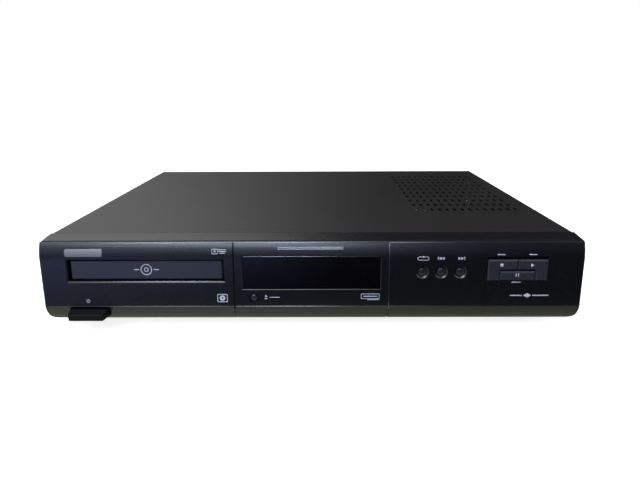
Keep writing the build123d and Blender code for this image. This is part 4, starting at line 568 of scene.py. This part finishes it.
keyMarks = {
    "key_stop": [(bar, 151.9, 58.8, 2.5, 2.5)],
    "key_play": [(arrow, 176.0, 58.6, 1.75, 0)],
    "key_pause": [(bar, 163.8, 50.6, 0.8, 2.5), (bar, 165.6, 50.6, 0.8, 2.5)],
}
faceMarks = {
    "mark_small_frame": [(outlineFrame, -77.0, 69.8, 5.2, 4.0, 0.45, 0.8), (dot, -77.0, 69.8, 0.8),
                         (bar, -71.0, 71.1, 6.2, 0.6), (bar, -71.0, 69.8, 6.2, 0.6),
                         (bar, -71.0, 68.5, 4.4, 0.6)],
    "mark_title_rule": [(bar, -0.5, 72.8, 52.6, 0.5), (bar, -0.5, 71.5, 52.6, 0.5)],
    "mark_disc_square": [(outlineFrame, -72.2, 31.6, 8.4, 6.8, 0.6, 1.0), (ring, -72.2, 31.6, 2.3, 0.7)],
    "mark_power": [(arc, -181.7, 29.2, 1.25, 0.45, -235, 290), (bar, -181.7, 30.1, 0.45, 1.7)],
    "mark_eject": [(arrow, -36.8, 32.9, 1.35, 90), (bar, -36.8, 31.1, 2.5, 0.6),
                   (bar, -29.8, 32.2, 8.0, 0.5)],
    "mark_rule_middle": [(outlineFrame, 47.6, 32.9, 15.0, 4.4, 0.45, 0.6), (bar, 47.6, 32.9, 11.0, 0.7),
                         (bar, 50.3, 30.0, 9.6, 0.5)],
    "mark_rule_right": [(bar, 165.2, 33.4, 9.6, 0.9), (bar, 185.0, 33.4, 13.0, 0.9),
                        (arrow, 175.4, 33.4, 2.2, 0), (arrow, 173.2, 33.4, 2.2, 180)],
    "mark_repeat": [(bar, 89.5, 65.2, 6.2, 0.5), (bar, 89.5, 62.6, 6.2, 0.5), (arrow, 89.6, 65.2, 1.1, 0),
                    (arc, 92.6, 63.9, 1.3, 0.5, -90, 180, 10), (arc, 86.4, 63.9, 1.3, 0.5, 90, 180, 10)],
    "mark_previous": [(bar, 101.4, 63.9, 0.6, 2.6), (arrow, 103.4, 63.9, 1.5, 180),
                      (arrow, 105.7, 63.9, 1.5, 180)],
    "mark_next": [(arrow, 118.0, 63.9, 1.5, 0), (arrow, 120.3, 63.9, 1.5, 0),
                  (bar, 122.3, 63.9, 0.6, 2.6)],
    "mark_stop_rule": [(bar, 151.5, 66.9, 6.2, 0.7)],
    "mark_play_rule": [(bar, 176.7, 66.9, 6.2, 0.7)],
    "mark_pause_rule": [(bar, 164.7, 44.4, 7.4, 0.7)],
}
doorMark = [(ring, -133.6, 54.3, 4.6, 3.9), (ring, -133.6, 54.3, 1.9, 1.2), (bar, -141.6, 54.3, 4.4, 0.8),
            (bar, -125.6, 54.3, 4.4, 0.8)]
for name, shapes in faceMarks.items():
    makeMark(name, shapes, ["front_moulding"], "casing")
makeMark("mark_disc", doorMark, ["tray_door"], "tray")
for name, shapes in keyMarks.items():
    makeMark("mark_" + name, shapes, [name], name)
print("printed marks laid on the front:", len(faceMarks) + len(keyMarks) + 1)


# Fine bright edges of painted highlight, thin metal-like beads where the face turns under, along its top,
# under the door and over the window, and strips of painted shade along the seams

grooveValues = {"x": 62.5, "gap": 0.55}
creaseEdge = {"rise": 14.7, "end": 4.2, "look": 0.02, "back": 0.12, "down": 0.12, "radius": 0.26,
              "finishes": ("soft_edge", "polished_edge", "dim_edge")}
topEdge = {"rise": 66.05, "end": 2.4, "look": 0, "back": 0.08, "down": 0.04, "radius": 0.3,
           "finishes": ("polished_edge", "polished_edge", "soft_edge")}
lipEdge = {"rise": 35.3, "end": 1.3, "look": -0.2, "back": 0.12, "down": 0.12, "radius": 0.26}
paneEdge = {"x": 20, "end": 1.2, "look": -0.2, "back": 0.1, "below": 0.1, "radius": 0.28}
flangeShade = {"end": 2.4, "back": 15.3, "wide": 1.7, "lift": 0.03, "steps": 60}
seamShadeValues = {"middle": 38.8, "tall": 54.0, "bars": ((-62.8, 1.5), (61.9, 0.9)), "lift": 0.02}
ridge = {"x": 62.6, "wide": 0.6, "rise": 0.2, "beside": 63.4, "steps": 24}
frontLow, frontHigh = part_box("front_moulding")
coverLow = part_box("top_cover")[0]
paneLow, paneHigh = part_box("display_window")
faceTree, paneTree = surfaceOf("front_moulding", "display_window")


def edgeRun(name, start, end, y, z, radius, finish):
    half, r = (end - start) / 2, radius * mm
    place = Matrix.Translation(((start + end) / 2, y, z)) @ alongX
    profile = [(0, -half), (r * 0.6, -half), (r, r - half), (r, half - r), (r * 0.6, half), (0, half)]
    pieceFrom(name, turnedPiece(profile, place, 14), extras[finish], "casing")


def frontY(tree, x, z):
    return tree.ray_cast(Vector((x, -0.4, z)), Vector((0, 1, 0)))[0].y


def faceEdge(label, values):
    # Three runs along the face, one on each side of the two grooves and one between them, each a bead of
    # painted highlight in a bright, softer or dim finish
    z = frontLow.z + values["rise"] * mm
    low, high = frontLow.x + values["end"] * mm, frontHigh.x - values["end"] * mm
    groove, gap = grooveValues["x"] * mm, grooveValues["gap"] * mm
    runs = ((low, -groove - gap), (-groove + gap, groove - gap), (groove + gap, high))
    for side, finish, (start, end) in zip(("left", "middle", "right"), values["finishes"], runs):
        y = frontY(faceTree, (start + end) / 2, z + values["look"] * mm) + values["back"] * mm
        edgeRun(f"face_{label}_{side}", start, end, y, z - values["down"] * mm, values["radius"], finish)


faceEdge("crease", creaseEdge)
# A near-black strip of painted shade on the flange, along the face's top edge
seamStart, seamEnd = frontLow.x + flangeShade["end"] * mm, frontHigh.x - flangeShade["end"] * mm
seamY, seamWidth = coverLow.y - flangeShade["back"] * mm, flangeShade["wide"] * mm
shadeStrip = bmesh.new()
bmesh.ops.create_grid(shadeStrip, x_segments=flangeShade["steps"], y_segments=1, size=0.5,
                      matrix=Matrix.Translation(((seamStart + seamEnd) / 2, seamY - seamWidth / 2, 0))
                      @ Matrix.Diagonal((seamEnd - seamStart, seamWidth, 1, 1)))
for vert in shadeStrip.verts:
    below = faceTree.ray_cast(Vector((vert.co.x, vert.co.y, 0.2)), Vector((0, 0, -1)))[0]
    vert.co.z = below.z + flangeShade["lift"] * mm
pieceFrom("flange_seam", shadeStrip, extras["seam_rubber"], "casing")
faceEdge("top", topEdge)

# The two upright seams of the face, drawn as near-black strips of painted shade, with a raised edge of
# painted highlight on the right one
seamShadeLines = bmesh.new()
for x, wide in seamShadeValues["bars"]:
    bar(seamShadeLines, x, frontLow.z / mm + seamShadeValues["middle"], wide, seamShadeValues["tall"])
laidOn(seamShadeLines, [faceTree], lift=seamShadeValues["lift"])
pieceFrom("face_seams", seamShadeLines, extras["seam_rubber"], "casing")

# A raised ridge in the right seam, in the painted highlight finish, so that it shows as a bright line
seamHighlight = bmesh.new()
bmesh.ops.create_grid(seamHighlight, x_segments=2, y_segments=ridge["steps"], size=0.5,
                      matrix=markPlace(ridge["x"], frontLow.z / mm + seamShadeValues["middle"])
                      @ Matrix.Diagonal((ridge["wide"] * mm, seamShadeValues["tall"] * mm, 1, 1)))
for vert in seamHighlight.verts:
    crest = abs(vert.co.x - ridge["x"] * mm) < 0.1 * mm
    vert.co.y = frontY(faceTree, ridge["beside"] * mm, vert.co.z) - (ridge["rise"] * mm if crest else 0)
pieceFrom("face_seam_edge", seamHighlight, extras["polished_edge"], "casing", sharp=80)

# Beads of painted highlight along the door opening's lower lip and the window's top edge
doorLow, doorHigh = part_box("tray_door")
lipZ = frontLow.z + lipEdge["rise"] * mm
lipY = frontY(faceTree, doorLow.x, lipZ + lipEdge["look"] * mm) + lipEdge["back"] * mm
edgeRun("door_lip_edge", doorLow.x - lipEdge["end"] * mm, doorHigh.x + lipEdge["end"] * mm, lipY,
        lipZ - lipEdge["down"] * mm, lipEdge["radius"], "polished_edge")

paneZ = paneHigh.z - paneEdge["below"] * mm
paneY = frontY(paneTree, paneEdge["x"] * mm, paneZ + paneEdge["look"] * mm) + paneEdge["back"] * mm
edgeRun("window_top_edge", paneLow.x + paneEdge["end"] * mm, paneHigh.x - paneEdge["end"] * mm, paneY,
        paneZ, paneEdge["radius"], "polished_edge")
print("fine edges and seams laid on the front")


# Rear sockets: plated sleeves, coloured collars, contacts and pins

jackValues = {"radius": 4.15, "sleeve": 0.14, "play": 0.01, "sunk": 0.6, "round": 0.3, "lip": 0.7,
              "lipThick": 0.06, "collar": 5.6, "collarThick": 0.7, "collarPlay": 0.02, "margin": 14.5}
jackColors = ("ring_yellow", "ring_white", "ring_red", "ring_orange")
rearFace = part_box("rear_panel")[1].y
jackMounts = [m for m in frame["record"]["mounts"] if m["name"].startswith("jack_")]
r, wall, play, rounding = [jackValues[key] * mm for key in ("radius", "sleeve", "play", "round")]
base, lip, under = rearFace - jackValues["sunk"] * mm, r - jackValues["lip"] * mm, jackValues["lipThick"] * mm
collar, thick = jackValues["collar"] * mm, jackValues["collarThick"] * mm
inner = r + wall + jackValues["collarPlay"] * mm
collarProfile = [(inner, rearFace), (collar, rearFace), (collar, rearFace + thick * 0.6),
                 (collar - rounding, rearFace + thick), (inner, rearFace + thick)]
for count, mount in enumerate(jackMounts):
    x, y, z = mount["pos_m"]
    tip = y + mount["dims"]["length_mm"] / 2 * mm - 0.02 * mm
    place = Matrix.Translation((x, 0, z)) @ alongY
    profile = [(r + play, base), (r + wall, base), (r + wall, tip - rounding), (r + wall * 0.5, tip),
               (lip, tip), (lip, tip - under), (r + play, tip - under)]
    sleeve = turnedPiece(profile, place, 40)
    pieceFrom(f"jack_sleeve_{count + 1}", sleeve, extras["plated_nickel"], "casing")
    color = extras[jackColors[count % len(jackColors)]]
    pieceFrom(f"jack_collar_{count + 1}", turnedPiece(collarProfile, place, 40), color, "casing")

socketLow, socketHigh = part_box("scart_socket")
contactValues = {"count": 10, "pitch": 3.6, "shift": 1.2, "rise": 2.1, "thick": 0.5, "tall": 1.9,
                 "rear": 8.9, "front": 0.9, "down": 8.5, "bevel": 0.08}
bm = bmesh.new()
middleX = (socketLow.x + socketHigh.x) / 2
middleZ = socketHigh.z - contactValues["down"] * mm
half, tall = contactValues["thick"] / 2 * mm, contactValues["tall"] / 2 * mm
y0, y1 = [socketHigh.y - contactValues[key] * mm for key in ("rear", "front")]
for row in (-1, 1):
    for k in range(contactValues["count"]):
        x = middleX + ((k - 4.5) * contactValues["pitch"] - contactValues["shift"]) * mm
        z = middleZ + row * contactValues["rise"] * mm
        roundedBox(bm, (x - half, y0, z - tall), (x + half, y1, z + tall), contactValues["bevel"] * mm)
pieceFrom("scart_contacts", bm, extras["plated_gold"], "casing")

inletLow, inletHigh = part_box("mains_inlet")
pinValues = {"radius": 1.18, "plate": 0.05, "spread": 4.3, "length": 8.9, "recess": 12.0,
             "taper": 0.8, "tip": 0.72, "tipEdge": 0.15, "cap": 0.14}
inletX = (inletLow.x + inletHigh.x) / 2
inletZ = (inletLow.z + inletHigh.z) / 2
floorY = inletHigh.y - pinValues["recess"] * mm
r = (pinValues["radius"] + pinValues["plate"]) * mm
end = floorY + pinValues["length"] * mm
profile = [(0, floorY), (r, floorY), (r, end - pinValues["taper"] * mm),
           (r * pinValues["tip"], end - pinValues["tipEdge"] * mm), (0, end + pinValues["cap"] * mm)]
for side, label in ((-1, "left"), (1, "right")):
    place = Matrix.Translation((inletX + side * pinValues["spread"] * mm, 0, inletZ)) @ alongY
    pieceFrom("inlet_pin_" + label, turnedPiece(profile, place, 24), extras["plated_nickel"], "casing")

jackLow = [min(m["pos_m"][i] for m in jackMounts) / mm for i in (0, 2)]
jackHigh = [max(m["pos_m"][i] for m in jackMounts) / mm for i in (0, 2)]
middle = [(a + b) / 2 for a, b in zip(jackLow, jackHigh)]
wide, tall = [high - low + jackValues["margin"] for low, high in zip(jackLow, jackHigh)]
waveX, waveZ = inletX / mm, inletZ / mm + 16.2
rearMarks = {
    "rear_mark_jacks": [(outlineFrame, *middle, wide, tall, 0.4, 2.0)],
    "rear_mark_socket": [(outlineFrame, middleX / mm, middleZ / mm, 55.0, 22.0, 0.4, 2.0),
                         (bar, middleX / mm, middleZ / mm + 13.5, 16.0, 0.6)],
    "rear_mark_inlet": [(bar, waveX, waveZ - 2.8, 12.0, 0.5), (arc, waveX - 1.2, waveZ, 1.2, 0.4, 0, 180, 10),
                        (arc, waveX + 1.2, waveZ, 1.2, 0.4, 180, 180, 10)],
}
for name, shapes in rearMarks.items():
    makeMark(name, shapes, ["rear_panel"], "casing", False)
print("rear sockets dressed")


# Small parts on the circuit boards

boardSeed = random.Random(7)
mainLow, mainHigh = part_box("main_board")
supplyLow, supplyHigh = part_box("supply_board")


mainCorner = Vector((mainLow.x, mainLow.y, mainHigh.z))
supplyCorner = Vector((supplyLow.x, supplyLow.y, supplyHigh.z))

# Places on the boards are millimetres from the board's near left corner
resistorValues = {"length": 6.2, "radius": 1.1, "lift": 1.25, "waist": 0.82}
resistorBanks = ({"corner": mainCorner, "start": (84, 100), "pitch": (9, 4.2), "columns": 3, "rows": 5},
                 {"corner": supplyCorner, "start": (60, 18), "pitch": (0, 4.4), "columns": 1, "rows": 4})
discValues = {"radius": 3.3, "shoulder": 2.6, "thick": 1.1, "rim": 0.9, "lift": 4.2, "leg": (1.6, 0.3, 2),
              "places": ((70, 18), (78, 22), (86, 18), (12, 60), (14, 70), (88, 140))}
tinyValues = {"count": 90, "x": (6, 106), "y": (14, 150), "sizes": ((0.9, 1.8), (1.8, 0.9), (1.3, 2.4)),
              "tall": 0.7, "bevel": 0.1, "headerEdge": 14, "resistors": (78, 94),
              "chips": ((58, 60, 18), (94, 55, 12), (94, 85, 12), (22, 50, 13), (66, 110, 13))}
headerValues = {"main": (((5, 100, 0), (11, 128, 6), 0.5), ((40, 132, 0), (64, 138, 7), 0.5),
                         ((98, 6, 0), (108, 26, 6.5), 0.5)),
                "supply": (((4, 92, 0), (10, 120, 8), 0.5), ((30, 178, 0), (50, 187, 9), 0.6))}
canValues = {"round": 0.5, "rim": 0.9, "sunk": 0.15,
             "places": ((32, 78, 3.2, 11), (40, 84, 3.2, 11), (78, 30, 4, 12), (88, 28, 2.5, 9),
                        (30, 122, 2.5, 7), (76, 70, 2.5, 7))}
crystalValues = {"low": (74, 46, 0), "high": (78.6, 57, 3.4), "bevel": 1.4}

half, radius = resistorValues["length"] / 2 * mm, resistorValues["radius"] * mm
waist = radius * resistorValues["waist"]
profile = [(0, -half), (radius * 0.9, -half), (radius, -half * 0.8), (waist, -half * 0.5),
           (waist, half * 0.5), (radius, half * 0.8), (radius * 0.9, half), (0, half)]
resistors = bmesh.new()
for bank in resistorBanks:
    for column in range(bank["columns"]):
        for row in range(bank["rows"]):
            x, y = bank["start"][0] + column * bank["pitch"][0], bank["start"][1] + row * bank["pitch"][1]
            spot = bank["corner"] + Vector((x, y, resistorValues["lift"])) * mm
            joinInto(resistors, turnedPiece(profile, Matrix.Translation(spot) @ alongX, 12))
pieceFrom("board_resistors", resistors, extras["resistor_tan"], "casing")

discs = bmesh.new()
radius, shoulder, thick, rim = [discValues[key] * mm for key in ("radius", "shoulder", "thick", "rim")]
profile = [(0, -thick), (shoulder, -rim), (radius, 0), (shoulder, rim), (0, thick)]
legX, legY, legTop = discValues["leg"]
for x, y in discValues["places"]:
    place = Matrix.Translation(supplyCorner + Vector((x, y, discValues["lift"])) * mm) @ alongY
    joinInto(discs, turnedPiece(profile, place, 20))
    roundedBox(discs, supplyCorner + Vector((x - legX, y - legY, 0)) * mm,
               supplyCorner + Vector((x + legX, y + legY, legTop)) * mm)
pieceFrom("supply_ceramics", discs, extras["ceramic_brown"], "casing")

tinyParts = bmesh.new()
for count in range(tinyValues["count"]):
    x, y = boardSeed.uniform(*tinyValues["x"]), boardSeed.uniform(*tinyValues["y"])
    overChip = any(abs(x - cx) < reach and abs(y - cy) < reach for cx, cy, reach in tinyValues["chips"])
    atResistors = x > tinyValues["resistors"][0] and y > tinyValues["resistors"][1]
    if overChip or atResistors or x < tinyValues["headerEdge"]:
        continue
    wide, deep = boardSeed.choice(tinyValues["sizes"])
    px, py = mainLow.x + x * mm, mainLow.y + y * mm
    roundedBox(tinyParts, (px - wide * mm / 2, py - deep * mm / 2, mainHigh.z),
               (px + wide * mm / 2, py + deep * mm / 2, mainHigh.z + tinyValues["tall"] * mm),
               tinyValues["bevel"] * mm, 1)
pieceFrom("main_board_tiny_parts", tinyParts, extras["ceramic_brown"], "casing")

headers = bmesh.new()
for corner, boxes in ((mainCorner, headerValues["main"]), (supplyCorner, headerValues["supply"])):
    for low, high, bevel in boxes:
        roundedBox(headers, corner + Vector(low) * mm, corner + Vector(high) * mm, bevel * mm)
pieceFrom("board_headers", headers, extras["connector_cream"], "casing")

smallCans = bmesh.new()
for x, y, r, tall in canValues["places"]:
    rounding, top = canValues["round"], (tall - canValues["sunk"]) * mm
    profile = [(0, 0), (r * mm, 0), (r * mm, (tall - rounding) * mm), ((r - rounding) * mm, tall * mm),
               ((r - canValues["rim"]) * mm, top), (0, top)]
    place = Matrix.Translation(mainCorner + Vector((x, y, 0)) * mm)
    joinInto(smallCans, turnedPiece(profile, place, 24))
pieceFrom("main_board_cans", smallCans, slotMaterials["capacitor_sleeve"], "casing")

crystal = bmesh.new()
roundedBox(crystal, mainCorner + Vector(crystalValues["low"]) * mm,
           mainCorner + Vector(crystalValues["high"]) * mm, crystalValues["bevel"] * mm, 3)
pieceFrom("clock_crystal", crystal, extras["plated_nickel"], "casing")
print("circuit boards dressed")


# Disc drive: the turntable's rubber ring, the clamp's steel disc and the lens holder

ringValues = {"outer": 13.9, "inner": 10.6, "rise": 0.25, "sunk": 0.38, "edge": 0.4, "below": 2.6}
puckValues = {"radius": 9.2, "edge": 8.8, "side": 0.55, "top": 0.7, "sunk": 0.01}
holderValues = {"play": 0.04, "outer": 1.3, "edge": 1.0, "low": 0.4, "side": 0.5, "top": 0.75, "below": 1.2}
tableLow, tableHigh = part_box("turntable")
spin = Vector(((tableLow.x + tableHigh.x) / 2, (tableLow.y + tableHigh.y) / 2, 0))
outer, inner, edge = [ringValues[key] * mm for key in ("outer", "inner", "edge")]
tableTop = tableHigh.z - ringValues["below"] * mm
low, side, top = [tableTop + rise * mm for rise in (-ringValues["sunk"], ringValues["rise"] * 0.4,
                                                    ringValues["rise"])]
profile = [(inner, low), (outer, low), (outer, side), (outer - edge, top), (inner + edge, top), (inner, side)]
pieceFrom("turntable_ring", turnedPiece(profile, Matrix.Translation(spin), 48), extras["rubber_ring"],
          "turntable")

puckLow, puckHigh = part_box("clamp_puck")
puckX, puckY = (puckLow.x + puckHigh.x) / 2, (puckLow.y + puckHigh.y) / 2
place = Matrix.Translation((puckX, puckY, 0))
radius, edge = puckValues["radius"] * mm, puckValues["edge"] * mm
low, side, top = [puckHigh.z + rise * mm for rise in (-puckValues["sunk"], puckValues["side"],
                                                      puckValues["top"])]
profile = [(0, low), (radius, low), (radius, side), (edge, top), (0, top)]
pieceFrom("clamp_steel_disc", turnedPiece(profile, place, 40), slotMaterials["motor_steel"], "clamp")

lensLow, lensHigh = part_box("pickup_lens")
lensX, lensY = (lensLow.x + lensHigh.x) / 2, (lensLow.y + lensHigh.y) / 2
place = Matrix.Translation((lensX, lensY, 0))
r = (lensHigh.x - lensLow.x) / 2
headTop = lensHigh.z - holderValues["below"] * mm
inner, outer, edge = [r + holderValues[key] * mm for key in ("play", "outer", "edge")]
low, side, top = [headTop + rise * mm for rise in (-holderValues["low"], holderValues["side"],
                                                   holderValues["top"])]
profile = [(inner, low), (outer, low), (outer, side), (edge, top), (inner, top)]
pieceFrom("lens_holder", turnedPiece(profile, place, 36), slotMaterials["black_plastic"], "pickup")
print("disc drive dressed")


# Floor, world, cards and lamps

floorValues = {"half": 6.0, "glow": 0.8, "paint": 0.8}
bm = bmesh.new()
bmesh.ops.create_grid(bm, x_segments=1, y_segments=1, size=floorValues["half"])
floorMesh = bpy.data.meshes.new("floor")
bm.to_mesh(floorMesh)
bm.free()
floor = bpy.data.objects.new("floor", floorMesh)
floor.location.z = -0.0002
bpy.context.scene.collection.objects.link(floor)
material, tree, shader = newMaterial("floorPaper")
shader.inputs["Base Color"].default_value = [floorValues["paint"]] * 3 + [1]
shader.inputs["Roughness"].default_value = 0.9
shader.inputs["Emission Color"].default_value = (1, 1, 1, 1)
glow = mathNode(tree, "MULTIPLY", seenDirectly(tree), floorValues["glow"])
tree.links.new(glow, shader.inputs["Emission Strength"])
floorMesh.materials.append(material)

worldValues = {"seen": (1, 1, 1), "light": (0.36, 0.37, 0.4)}
world = bpy.data.worlds.new("studio")
bpy.context.scene.world = world
world.use_nodes = True
tree = world.node_tree
background = tree.nodes["Background"]
background.inputs["Strength"].default_value = 1
worldColor = mixColor(tree, seenDirectly(tree), worldValues["light"], worldValues["seen"])
tree.links.new(worldColor, background.inputs["Color"])


def makeCard(name, place, turn, size, color):
    # A board that only reflections see, so that the gloss shows a calm room
    bm = bmesh.new()
    bmesh.ops.create_grid(bm, x_segments=1, y_segments=1, size=1)
    mesh = bpy.data.meshes.new(name)
    bm.to_mesh(mesh)
    bm.free()
    card = bpy.data.objects.new(name, mesh)
    card.location = place
    card.rotation_euler = [math.radians(angle) for angle in turn]
    card.scale = (size[0] / 2, size[1] / 2, 1)
    bpy.context.scene.collection.objects.link(card)
    material = bpy.data.materials.new(name)
    material.use_nodes = True
    tree = material.node_tree
    tree.nodes.clear()
    glow = addNode(tree, "ShaderNodeEmission")
    tree.links.new(color(tree), glow.inputs["Color"])
    tree.links.new(glow.outputs[0], addNode(tree, "ShaderNodeOutputMaterial").inputs[0])
    mesh.materials.append(material)
    for ray in ("camera", "diffuse", "transmission", "shadow", "volume_scatter"):
        setattr(card, "visible_" + ray, False)


def acrossAndUp(tree, left, right, lowest):
    # A colour that runs from left to right and fades out towards the lower edge
    across = mapRange(tree, axisValue(tree, "X"), -0.36, 0.08)
    rise = mapRange(tree, axisValue(tree, "Y"), -0.8, lowest)
    return mixColor(tree, rise, (0.0, 0.0, 0.0), mixColor(tree, across, left, right))


def peakAcross(tree, left, peak, right, sides, colors):
    # Three colours from left to right
    x = axisValue(tree, "X")
    rising = mixColor(tree, mapRange(tree, x, left, peak), colors[0], colors[1])
    return mixColor(tree, mapRange(tree, x, peak + sides, right), rising, colors[2])


def backWall(tree):
    low = acrossAndUp(tree, (0.6, 0.6, 0.6), (0.012, 0.01, 0.012), -0.5)
    high = peakAcross(tree, -0.3, -0.16, -0.04, 0.0,
                      ((0.95, 0.97, 0.95), (0.6, 0.6, 0.62), (0.04, 0.04, 0.04)))
    return mixColor(tree, mapRange(tree, axisValue(tree, "Y"), -0.3, -0.14), low, high)


def frontWall(tree):
    return acrossAndUp(tree, (0.045, 0.05, 0.065), (0.55, 0.62, 1.0), -0.5)


def darkFloor(tree):
    across = mapRange(tree, axisValue(tree, "X"), -0.2, 0.02)
    near = mixColor(tree, across, (0.15, 0.17, 0.21), (0.004, 0.005, 0.008))
    far = mixColor(tree, across, (0.88, 0.99, 2.1), (0.08, 0.09, 0.12))
    return mixColor(tree, mapRange(tree, axisValue(tree, "Y"), 1.0, 0.3), near, far)


def nearFloor(tree):
    under = mapRange(tree, axisValue(tree, "Y"), -0.2, 0.3)
    across = mapRange(tree, axisValue(tree, "X"), -0.2, 0.6)
    near = mixColor(tree, across, (0.93, 0.96, 0.77), (0.5, 0.52, 0.4))
    return mixColor(tree, under, near, (0.22, 0.24, 0.19))


def skyLight(tree):
    # The light that shows as fine lines on the edges that look up to the front
    return peakAcross(tree, -0.95, -0.06, 0.4, 0.05, ((2.0, 2.3, 2.8), (14, 14.5, 16), (0.04, 0.04, 0.05)))


cardValues = {
    "backCard": {"place": (0, 1.9, 1.3), "turn": (90, 0, 0), "size": (6.0, 2.6), "color": backWall},
    "frontCard": {"place": (0, -2.2, 1.2), "turn": (90, 0, 180), "size": (6.0, 2.4), "color": frontWall},
    "floorCard": {"place": (0, -1.24, 0.004), "turn": (0, 0, 0), "size": (4.4, 2.15), "color": darkFloor},
    "skyCard": {"place": (-0.2, -1.2, 1.5), "turn": (36, 0, 0), "size": (2.6, 0.6), "color": skyLight},
    "stripCard": {"place": (0, -0.156, 0.005), "turn": (0, 0, 0), "size": (0.8, 0.112), "color": nearFloor},
}
for name, values in cardValues.items():
    makeCard(name, **values)

lampValues = {
    "overheadSoft": {"place": (-0.36, -0.2, 1.25), "aim": (0, 0.02, 0.05), "size": (1.0, 0.7), "power": 9,
                     "color": (0.9, 0.94, 1)},
    "frontSoft": {"place": (-0.32, -1.05, 0.95), "aim": (-0.05, -0.14, 0.05), "size": (0.9, 0.6), "power": 10,
                  "color": (0.72, 0.82, 1)},
    "rightFill": {"place": (1.2, -0.2, 0.6), "aim": (0.1, 0, 0.04), "size": (0.8, 0.8), "power": 1.5,
                  "color": (1, 0.97, 0.93)},
    "backSoft": {"place": (-0.5, 1.0, 1.5), "aim": (0, 0.1, 0.05), "size": (1.2, 0.6), "power": 6,
                 "color": (1, 0.98, 0.96)},
}
for name, values in lampValues.items():
    data = bpy.data.lights.new(name, "AREA")
    data.shape = "RECTANGLE"
    data.size, data.size_y = values["size"]
    data.energy = values["power"]
    data.color = values["color"]
    lamp = bpy.data.objects.new(name, data)
    lamp.location = values["place"]
    towards = Vector(values["aim"]) - Vector(values["place"])
    lamp.rotation_euler = towards.to_track_quat("-Z", "Y").to_euler()
    bpy.context.scene.collection.objects.link(lamp)

bpy.context.scene.view_settings.view_transform = "Standard"
print("stage and lamps ready")
